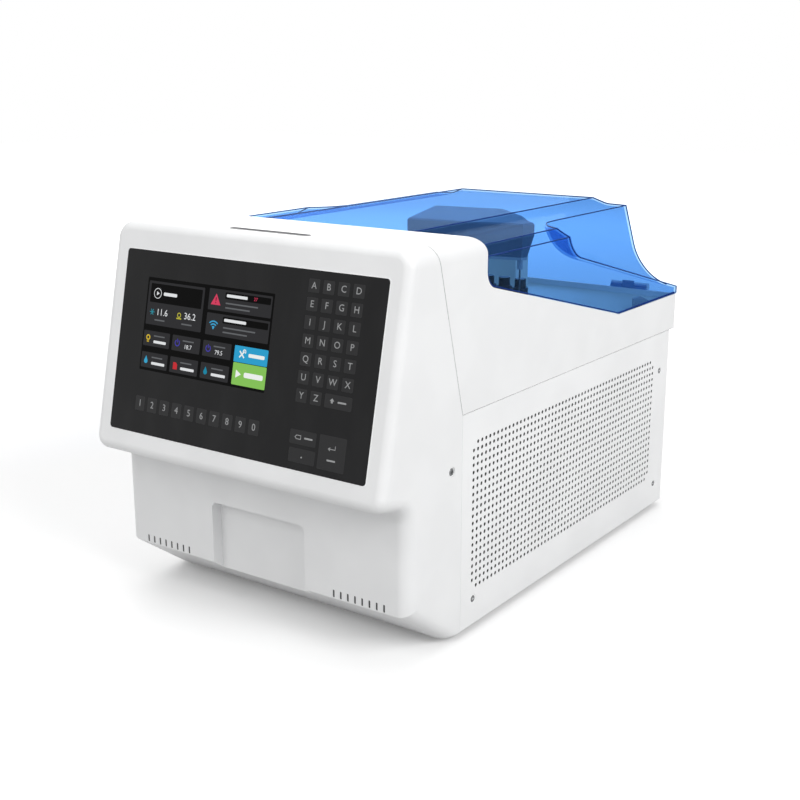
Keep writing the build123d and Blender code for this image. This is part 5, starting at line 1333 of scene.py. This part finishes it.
@dataclass
class PerforatedSheet:
    """A white side sheet with its full field of round holes and its screw dimples."""

    side: Side
    pitch: float = 6.97 * MM
    hole_radius: float = 1.85 * MM
    columns: int = 56
    rows: int = 21
    first_y: float = 136.8 * MM
    first_z: float = 37.8 * MM
    round_steps: int = 12
    edge: float = 0.5 * MM
    thickness: float = 0.5 * MM
    dimple_radius: float = 4.6 * MM
    dimple_floor: float = 3.9 * MM
    dimple_depth: float = 0.9 * MM
    dimple_steps: int = 24
    foam_gap: float = 1.5 * MM
    foam_thickness: float = 2.0 * MM
    foam_corner: int = 3

    def __post_init__(self) -> None:
        """Finds the sheet's planes and the places of its holes."""
        self.node = "side_panel_right" if self.side is Side.RIGHT else "side_panel_left"
        self.low, self.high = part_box(self.node)
        right = self.side is Side.RIGHT
        self.outer_x, self.rim_x = (self.high.x, self.low.x) if right else (self.low.x, self.high.x)
        self.inner_x = self.outer_x - self.side.value * self.thickness
        glass_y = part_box("touch_glass")[0].y
        self.ys = [glass_y + self.first_y + self.pitch * n for n in range(self.columns)]
        self.zs = [self.low.z + self.first_z + self.pitch * n for n in range(self.rows)]

    def build(self) -> None:
        """Builds the sheet in place of its plain node, with the dust filter behind it."""
        mesh = bmesh.new()
        self.field(mesh)
        piece = Modeller.add(f"{self.node}_sheet", mesh, WHITE_SHEET, Body.CASE, smooth=40)
        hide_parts(self.node)
        self.filter_foam()
        log.info("%s: %d by %d holes", self.node, self.columns, self.rows)

    def filter_foam(self) -> None:
        """A dark foam mat behind the holes, with round corners."""
        width = self.pitch * (self.columns + 1)
        height = self.pitch * (self.rows + 1)
        middle_y = (self.ys[0] + self.ys[-1]) / 2
        middle_z = (self.zs[0] + self.zs[-1]) / 2
        inward = -self.side.value
        turn = ((0, 0, inward), (1, 0, 0), (0, 1, 0))
        place = placement(turn, (self.rim_x + inward * self.foam_gap, middle_y, middle_z))
        outline = Modeller.rounded(width, height, self.foam_corner * self.pitch)
        mesh = Modeller.plate(outline, self.foam_thickness, place)
        Modeller.add(f"filter_foam_{self.side.name.lower()}", mesh, FILTER_FOAM, Body.CASE)

    def dimple(self, mesh: Mesh, y: float, z: float) -> list[Vert]:
        """A shallow round dimple for a screw, and gives back its rim."""
        floor_x = self.outer_x - self.side.value * self.dimple_depth
        rim, foot = (
            [mesh.verts.new((x, y + a, z + b)) for a, b in Modeller.disc(radius, self.dimple_steps)]
            for x, radius in ((self.outer_x, self.dimple_radius), (floor_x, self.dimple_floor))
        )
        Modeller.skirt(mesh, rim, foot)
        mesh.faces.new(foot)
        return rim

    def field(self, mesh: Mesh) -> None:
        """Fills the field cell by cell, then the border around it."""
        half = self.pitch / 2
        grid: dict[tuple[int, int, int], Vert] = {}

        def corner(column: int, row: int, layer: int) -> Vert:
            """The shared corner of cells, on the outer (0) or the inner (1) face."""
            key = (column, row, layer)
            if key not in grid:
                y = self.ys[0] - half + self.pitch * column
                z = self.zs[0] - half + self.pitch * row
                grid[key] = mesh.verts.new((self.inner_x if layer else self.outer_x, y, z))
            return grid[key]

        for column in range(self.columns):
            for row in range(self.rows):
                corners = [
                    [corner(column + a, row + b, layer) for a, b in ((0, 0), (1, 0), (1, 1), (0, 1))]
                    for layer in (0, 1)
                ]
                if column in (0, self.columns - 1) and row in (0, self.rows - 1):
                    mesh.faces.new(corners[0])
                    mesh.faces.new(corners[1][::-1])
                else:
                    self.hole(mesh, self.ys[column], self.zs[row], corners)
        self.border(mesh, grid)

    def hole(self, mesh: Mesh, y: float, z: float, corners: list[list[Vert]]) -> None:
        """One round hole in its square cell, with a face from each side to a quarter of the rim."""
        rims = []
        quarter = self.round_steps // 4
        angles = [2 * pi * n / self.round_steps - 3 * pi / 4 for n in range(self.round_steps)]
        circle = [(self.hole_radius * cos(angle), self.hole_radius * sin(angle)) for angle in angles]
        for layer, x in ((0, self.outer_x), (1, self.inner_x)):
            rim = [mesh.verts.new((x, y + a, z + b)) for a, b in circle]
            rims.append(rim)
            for n in range(4):
                here, after = corners[layer][n], corners[layer][(n + 1) % 4]
                arc = [rim[(n * quarter + k) % self.round_steps] for k in range(quarter + 1)]
                mesh.faces.new([here, after, *reversed(arc)])
        Modeller.skirt(mesh, *rims)

    def border(self, mesh: Mesh, grid: dict[tuple[int, int, int], Vert]) -> None:
        """The plain border between the field and a folded rim, with the screws' dimples."""
        edge_x = self.outer_x - self.side.value * self.edge
        bottom = [(c, 0) for c in range(self.columns + 1)]
        right = [(self.columns, r) for r in range(1, self.rows + 1)]
        top = [(c, self.rows) for c in range(self.columns - 1, -1, -1)]
        left = [(0, r) for r in range(self.rows - 1, 0, -1)]
        loop = bottom + right + top + left

        def outward(place: tuple[int, int], inset: float, x: float) -> Vert:
            """The border's outer point that belongs to a point of the field's edge."""
            column, row = place
            at = grid[(column, row, 0)].co
            y, z = at.y, at.z
            if column == 0:
                y = self.low.y + inset
            if column == self.columns:
                y = self.high.y - inset
            if row == 0:
                z = self.low.z + inset
            if row == self.rows:
                z = self.high.z - inset
            return mesh.verts.new((x, y, z))

        face_edge, *folded = (
            [outward(place, inset, x) for place in loop]
            for inset, x in (
                (self.edge, self.outer_x),
                (0, edge_x),
                (0, self.rim_x),
                (self.thickness, self.rim_x),
                (self.thickness, self.inner_x),
            )
        )
        loops = [[grid[(c, r, 0)] for c, r in loop], face_edge]
        loops += [self.dimple(mesh, y, z) for y, z in CrossHeadScrews().sheet_places()]
        edges = Modeller.ring_edges(mesh, loops)
        bmesh.ops.triangle_fill(mesh, edges=edges, use_beauty=True, normal=(self.side.value, 0, 0))
        rings = [face_edge, *folded, [grid[(c, r, 1)] for c, r in loop]]
        for first, second in zip(rings, rings[1:]):
            Modeller.skirt(mesh, first, second)


@dataclass
class CrossHeadScrews:
    """Pan-head screws with a cross recess: in the sides, the back and the hinges."""

    head_radius: float = 3.4 * MM
    head_height: float = 0.8 * MM
    cross: float = 2.0 * MM
    slot: float = 0.55 * MM
    sink: float = 0.7 * MM
    steps: int = 28
    profile: tuple[Point, ...] = ((1.0, 0.0), (1.0, 0.35), (0.93, 0.7), (0.78, 0.92), (0.6, 1.0))
    sheet_inset: float = 22 * MM
    sheet_low: float = 25.5 * MM
    sheet_high: float = 162.7 * MM
    cheek_height: float = 159.6 * MM
    leaf_thickness: float = 1.6 * MM
    leaf_height: float = 7 * MM
    leaf_insets: Point = (9 * MM, 37 * MM)

    def sheet_places(self) -> list[Point]:
        """Where the screws of a side sheet stand, as y and z."""
        low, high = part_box("side_panel_right")
        front, back = low.y + self.sheet_inset, high.y - self.sheet_inset
        foot, top = low.z + self.sheet_low, low.z + self.sheet_high
        return [(front, foot), (back, foot), (back, top)]

    def side_spots(self) -> list[Matrix]:
        """The heads in the cheeks of the front cover and in the side sheets."""
        low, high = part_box("side_screws")
        cheek = (low.y + self.head_radius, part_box("side_panel_right")[0].z + self.cheek_height)
        return [
            self.spot((face, y, z), (side.value, 0, 0))
            for side, face in ((Side.LEFT, low.x), (Side.RIGHT, high.x))
            for y, z in (cheek, *self.sheet_places())
        ]

    def rear_spots(self) -> list[Matrix]:
        """The heads at the corners of the rear panel."""
        low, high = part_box("rear_screws")
        inset = self.head_radius
        return [
            self.spot((x, high.y, z), (0, 1, 0))
            for x in (low.x + inset, high.x - inset)
            for z in (low.z + inset, high.z - inset)
        ]

    def hinge_spots(self) -> list[Matrix]:
        """The heads in the hinge leaves that are fixed to the shell."""
        low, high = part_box("hinge_leaves_fixed")
        leaf_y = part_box("upper_shell")[1].y + self.leaf_thickness + self.head_height
        return [
            self.spot((sign * (high.x - inset), leaf_y, low.z + self.leaf_height), (0, 1, 0))
            for sign in (-1, 1)
            for inset in self.leaf_insets
        ]

    def spot(self, top: Sequence[float], outward: Sequence[float]) -> Matrix:
        """The placement of a head whose top is at a point and faces outward."""
        turn = Vector(outward).to_track_quat("Z", "Y").to_matrix()
        return placement(turn, Vector(top) - Vector(outward) * self.head_height)

    def head(self, place: Matrix) -> Mesh:
        """One domed head with a cross cut into it."""
        mesh = bmesh.new()

        def loop(outline: Sequence[Point], height: float) -> list[Vert]:
            """An outline at one height of the head."""
            return [mesh.verts.new(place @ Vector((x, y, height))) for x, y in outline]

        rings = [
            loop(Modeller.disc(self.head_radius * radius, self.steps), height * self.head_height)
            for radius, height in self.profile
        ]
        for first, second in zip(rings, rings[1:]):
            Modeller.skirt(mesh, first, second)
        mesh.faces.new(rings[0])
        cross_top = loop(self.cross_outline(), self.head_height)
        cross_low = loop(self.cross_outline(), self.head_height - self.sink)
        edges = Modeller.ring_edges(mesh, [rings[-1], cross_top])
        bmesh.ops.triangle_fill(mesh, edges=edges, use_beauty=True)
        inside = [f for f in mesh.faces if all(v in cross_top for v in f.verts)]
        bmesh.ops.delete(mesh, geom=inside, context="FACES_ONLY")
        Modeller.skirt(mesh, cross_top, cross_low)
        mesh.faces.new(cross_low)
        return mesh

    def cross_outline(self) -> list[Point]:
        """The twelve corners of the cross."""
        a, b = self.slot, self.cross
        outline = [(b, -a), (b, a), (a, a)]
        for _ in range(3):
            outline += [(-y, x) for x, y in outline[-3:]]
        return outline

    def row(self, name: str, spots: Sequence[Matrix], finish: Finish) -> Piece:
        """Makes the heads at some places as one piece."""
        heads = [
            Modeller.add(f"{name}_{n}", self.head(spot), finish, Body.CASE, smooth=35)
            for n, spot in enumerate(spots)
        ]
        log.info("%s: %d", name, len(heads))
        return Modeller.joined(name, heads)

    def build(self) -> None:
        """Makes all the screws, in place of the plain ones where there are some."""
        sides = self.row("side_cross_heads", self.side_spots(), DARK_STEEL)
        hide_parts("side_screws")
        rear = self.row("rear_cross_heads", self.rear_spots(), SCREW_STEEL)
        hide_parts("rear_screws")
        self.row("hinge_cross_heads", self.hinge_spots(), SCREW_STEEL)


@dataclass
class RearSigns:
    """Plain numbers and signs printed on the rear panel and on the power switch."""

    height: float = 4.5 * MM
    rise: float = 6.0 * MM
    hoses: int = 4
    sockets: tuple[float, ...] = (48 * MM, 24 * MM, 0)

    def sign(self, name: str, text: str, x: float, z: float, height: float) -> Piece:
        """One sign on the rear panel, which is read from behind."""
        at = (x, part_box("rear_panel")[1].y, z)
        place = placement(((-1, 0, 0), (0, 0, 1), (0, 1, 0)), at)
        return Modeller.words(name, text, height, place, SIGN_INK)

    def build(self) -> None:
        """Prints the signs."""
        low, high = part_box("fluid_ports")
        radius = (high.z - low.z) / 2
        step = (high.x - low.x - 2 * radius) / (self.hoses - 1)
        over_hoses = high.z + self.rise
        under_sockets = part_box("data_ports")[0].z - self.rise
        places = [("port", n, high.x - radius - step * n, over_hoses) for n in range(self.hoses)]
        places += [("socket", n, x, under_sockets) for n, x in enumerate(self.sockets)]
        signs = [
            self.sign(f"{kind}_number_{n + 1}", str(n + 1), x, z, self.height)
            for kind, n, x, z in places
        ]
        low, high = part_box("power_inlet")
        middle = (low.x + high.x) / 2
        signs.append(self.sign("mains_sign", "~", middle, high.z + self.rise, 2 * self.height))
        Modeller.joined("rear_signs", signs)
        log.info("rear signs: %d", len(signs))


@dataclass
class EdgeLines:
    """Thin lines along a node's sharp edges: painted shade for the darker look of the tinted lid seen
    edge-on, and shade in the seams.
    """

    name: str
    node: Piece
    body: Body
    finish: Finish
    wanted: Callable[[Edge], bool]
    radius: float
    depth: float
    weld: float = 0.01 * MM

    def runs(self) -> list[list[Vector]]:
        """The wanted edges as runs of points, each sunk into the wall.

        Returns:
            The runs, each from one end or junction to the next.
        """
        mesh = bmesh.new()
        mesh.from_mesh(self.node.data)
        bmesh.ops.remove_doubles(mesh, verts=mesh.verts[:], dist=self.weld)
        mesh.normal_update()
        left = {e for e in mesh.edges if e.is_manifold and self.wanted(e)}
        meets: dict[Vert, list[float]] = {}
        for edge in left:
            for vert in edge.verts:
                meets.setdefault(vert, []).append(edge.calc_face_angle(0))
        runs = []
        while left:
            ends = [e for e in left if any(len(meets[v]) != 2 for v in e.verts)]
            edge = ends[0] if ends else next(iter(left))
            run = [next((v for v in edge.verts if len(meets[v]) != 2), edge.verts[0])]
            while edge is not None:
                left.discard(edge)
                run.append(edge.other_vert(run[-1]))
                onward = [e for e in run[-1].link_edges if e in left]
                edge = onward[0] if len(meets[run[-1]]) == 2 and onward else None
            runs.append([v.co - v.normal * (self.depth / cos(max(meets[v]) / 2)) for v in run])
        mesh.free()
        return runs

    def build(self) -> None:
        """Makes the lines as one piece."""
        curve = bpy.data.curves.new(self.name, "CURVE")
        curve.dimensions = "3D"
        curve.bevel_depth = self.radius
        curve.bevel_resolution = 1
        curve.use_fill_caps = True
        runs = self.runs()
        for run in runs:
            spline = curve.splines.new("POLY")
            spline.points.add(len(run) - 1)
            for point, place in zip(spline.points, run):
                point.co = (*place, 1)
        Modeller.from_curve(curve, Matrix(), self.finish, self.body)
        log.info("%s: %d runs", self.name, len(runs))


@dataclass
class SeamRules:
    """Which edges of the lid and of the upper shell get a line."""

    crease: float = radians(18)
    corner: float = radians(50)
    far_side: float = -120 * MM
    far_start: float = 10 * MM
    far_top: float = 16 * MM
    foot_height: float = 10 * MM
    foot_depth: float = 5 * MM
    skin: float = 15 * MM
    level: float = 1 * MM
    outward: float = 0.3
    facing: float = 0.7

    def __post_init__(self) -> None:
        """Keeps the boxes of both nodes."""
        self.lid_low, self.lid_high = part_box("lid")
        self.shell_low, self.shell_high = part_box("upper_shell")

    def lid(self, edge: Edge) -> bool:
        """The lid's outward creases and rims, without its back foot and its far scoop."""
        if edge.calc_face_angle_signed(0) <= self.crease:
            return False
        first, second = (v.co for v in edge.verts)
        lower, higher = sorted((first.z, second.z))
        nearer = min(first.y, second.y)
        along = abs(first.x - second.x) > abs(first.z - second.z)
        at_back = nearer > self.lid_high.y - self.foot_depth
        foot = at_back and higher < self.lid_low.z + self.foot_height
        scoop = max(first.x, second.x) < self.far_side and nearer > self.far_start
        return not (foot and along) and not (scoop and lower < self.lid_high.z - self.far_top)

    def shell(self, edge: Edge) -> bool:
        """The upper shell's outer edges that meet the front cover and the side sheets."""
        if edge.calc_face_angle_signed(0) < self.corner:
            return False
        normals = [f.normal for f in edge.link_faces]
        outside = all(abs(v.co.x) > self.shell_high.x - self.skin for v in edge.verts)
        skin = any(abs(normal.x) > self.outward for normal in normals)
        foot = all(v.co.z < self.shell_low.z + self.level for v in edge.verts)
        front = any(normal.y < -self.facing for normal in normals)
        under = any(normal.z < -self.facing for normal in normals)
        return outside and skin and (front or (foot and under))


@dataclass
class Studio:
    """A pale floor, soft lamps and the camera at the photograph's viewpoint."""

    eye: tuple[float, float, float] = (0.73229, -1.06354, 0.51307)
    yaw: float = radians(35.248)
    pitch: float = radians(15.216)
    focal_pixels: float = 1246.85
    image_pixels: float = 800.0
    sensor: float = 36.0
    floor_size: float = 6.0
    floor_lift: float = 0.12
    floor_far_lift: float = 0.85
    floor_fade: Point = (0.5, 3.0)
    floor_bounce: float = 0.5
    surround: float = 0.5
    aim: tuple[float, float, float] = (0, 0, 0.18)

    def camera(self) -> None:
        """The camera, at the place and angle that the object's own edges give."""
        data = bpy.data.cameras.new("view")
        data.sensor_fit = "HORIZONTAL"
        data.sensor_width = self.sensor
        data.lens = self.focal_pixels / self.image_pixels * self.sensor
        camera = bpy.data.objects.new("view", data)
        camera.location = self.eye
        camera.rotation_euler = (pi / 2 - self.pitch, 0, self.yaw)
        bpy.context.scene.collection.objects.link(camera)
        bpy.context.scene.camera = camera

    def lamp(self, name: str, at: Sequence[float], size: float, watts: float) -> None:
        """A square soft lamp that faces the object's middle."""
        data = bpy.data.lights.new(name, "AREA")
        data.size = size
        data.energy = watts
        lamp = bpy.data.objects.new(name, data)
        lamp.location = at
        away = Vector(self.aim) - Vector(at)
        lamp.rotation_euler = away.to_track_quat("-Z", "Y").to_euler()
        bpy.context.scene.collection.objects.link(lamp)

    def floor(self) -> None:
        """A wide floor that looks white and keeps the object's shadow."""
        mesh = bmesh.new()
        bmesh.ops.create_grid(mesh, x_segments=1, y_segments=1, size=self.floor_size)
        data = bpy.data.meshes.new("floor")
        mesh.to_mesh(data)
        mesh.free()
        floor = bpy.data.objects.new("floor", data)
        bpy.context.scene.collection.objects.link(floor)
        shader = Shader(bpy.data.materials.new("floor_white"))
        speck = shader.noise(4 * MM, 2)
        seen = shader.seen()
        reach = {0: shader.place()}
        away = shader.node("ShaderNodeVectorMath", {"operation": "LENGTH"}, reach, "Value")
        pale = shader.mix(speck, (0.9, 0.9, 0.9), (0.93, 0.93, 0.93))
        near, far = ((lift, lift, lift) for lift in (self.floor_lift, self.floor_far_lift))
        lift = shader.mix(away.ramp(*self.floor_fade), near, far)
        surface = shader.principled(
            {
                "Base Color": shader.mix(seen, (self.floor_bounce,) * 3, pale),
                "Roughness": 0.6,
                "Specular IOR Level": 0.0,
                "Emission Color": shader.mix(seen, (0.0, 0.0, 0.0), lift),
                "Emission Strength": 1.0,
            }
        )
        data.materials.append(shader.finish(surface))

    def world(self) -> None:
        """An even surround: white to the eye and in reflections, and softer as light."""
        shader = Shader(bpy.data.worlds.new("surround"), "ShaderNodeOutputWorld")
        lit, shown = (
            shader.node("ShaderNodeBackground", None, {"Color": (1, 1, 1), "Strength": strength})
            for strength in (self.surround, 1.0)
        )
        mixed = shader.node("ShaderNodeMixShader", None, {0: shader.seen(), 1: lit, 2: shown})
        bpy.context.scene.world = shader.finish(mixed)

    def build(self) -> None:
        """Sets the whole stage."""
        self.camera()
        self.floor()
        self.world()
        self.lamp("right_lamp", (2.4, -0.6, 1.7), size=1.4, watts=44)
        self.lamp("top_lamp", (-0.3, 0.2, 2.6), size=2.0, watts=15.5)
        self.lamp("back_lamp", (-1.8, 2.2, 1.3), size=1.6, watts=18)
        self.lamp("front_lamp", (-0.5, -2.4, 2.1), size=1.8, watts=23)
        bpy.context.scene.view_settings.view_transform = "Standard"
        log.info("studio: camera, floor, surround and four lamps")


@dataclass
class Analyzer:
    """The whole instrument."""

    frame: dict[str, Any]

    def dress_nodes(self) -> None:
        """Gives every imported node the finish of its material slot, or its own finish."""
        nodes = self.frame["nodes"]
        for part in self.frame["record"]["subparts"]:
            node = part["node"]
            NODE_FINISHES.get(node, SLOT_FINISHES[part["material_slot"]]).dress(nodes[node])
        log.info("nodes dressed: %d", len(nodes))

    def edge_lines(self) -> None:
        """Draws painted shade along the lid's edges, for its darker look edge-on, and the shade in the
        shell's seams.
        """
        rules = SeamRules()
        lid, shell = self.frame["nodes"]["lid"], self.frame["nodes"]["upper_shell"]
        for line in (
            EdgeLines("lid_shade_lines", lid, Body.LID, LID_EDGE_SHADE, rules.lid, 0.65 * MM, 0.8 * MM),
            EdgeLines("seam_shade", shell, Body.CASE, SEAM_SHADE, rules.shell, 0.3 * MM, 0.25 * MM),
        ):
            line.build()

    def build(self) -> None:
        """Dresses the nodes and adds the pieces made here."""
        self.dress_nodes()
        panel = PanelFrame()
        SlotShadeLiner().build()
        VentShadeMesh().build()
        GlassRimHighlight(panel).build()
        KeyPad(panel).build()
        LitScreen(panel).build()
        for side in Side:
            PerforatedSheet(side).build()
        CrossHeadScrews().build()
        RearSigns().build()
        self.edge_lines()


def corners(box: tuple[Vector, Vector]) -> list[list[float]]:
    """A box as plain lists."""
    return [[float(value) for value in corner] for corner in box]


def main() -> None:
    """Builds the analyzer and its stage."""
    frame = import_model()
    Analyzer(frame).build()
    Studio().build()


if __name__ == "__main__":
    main()
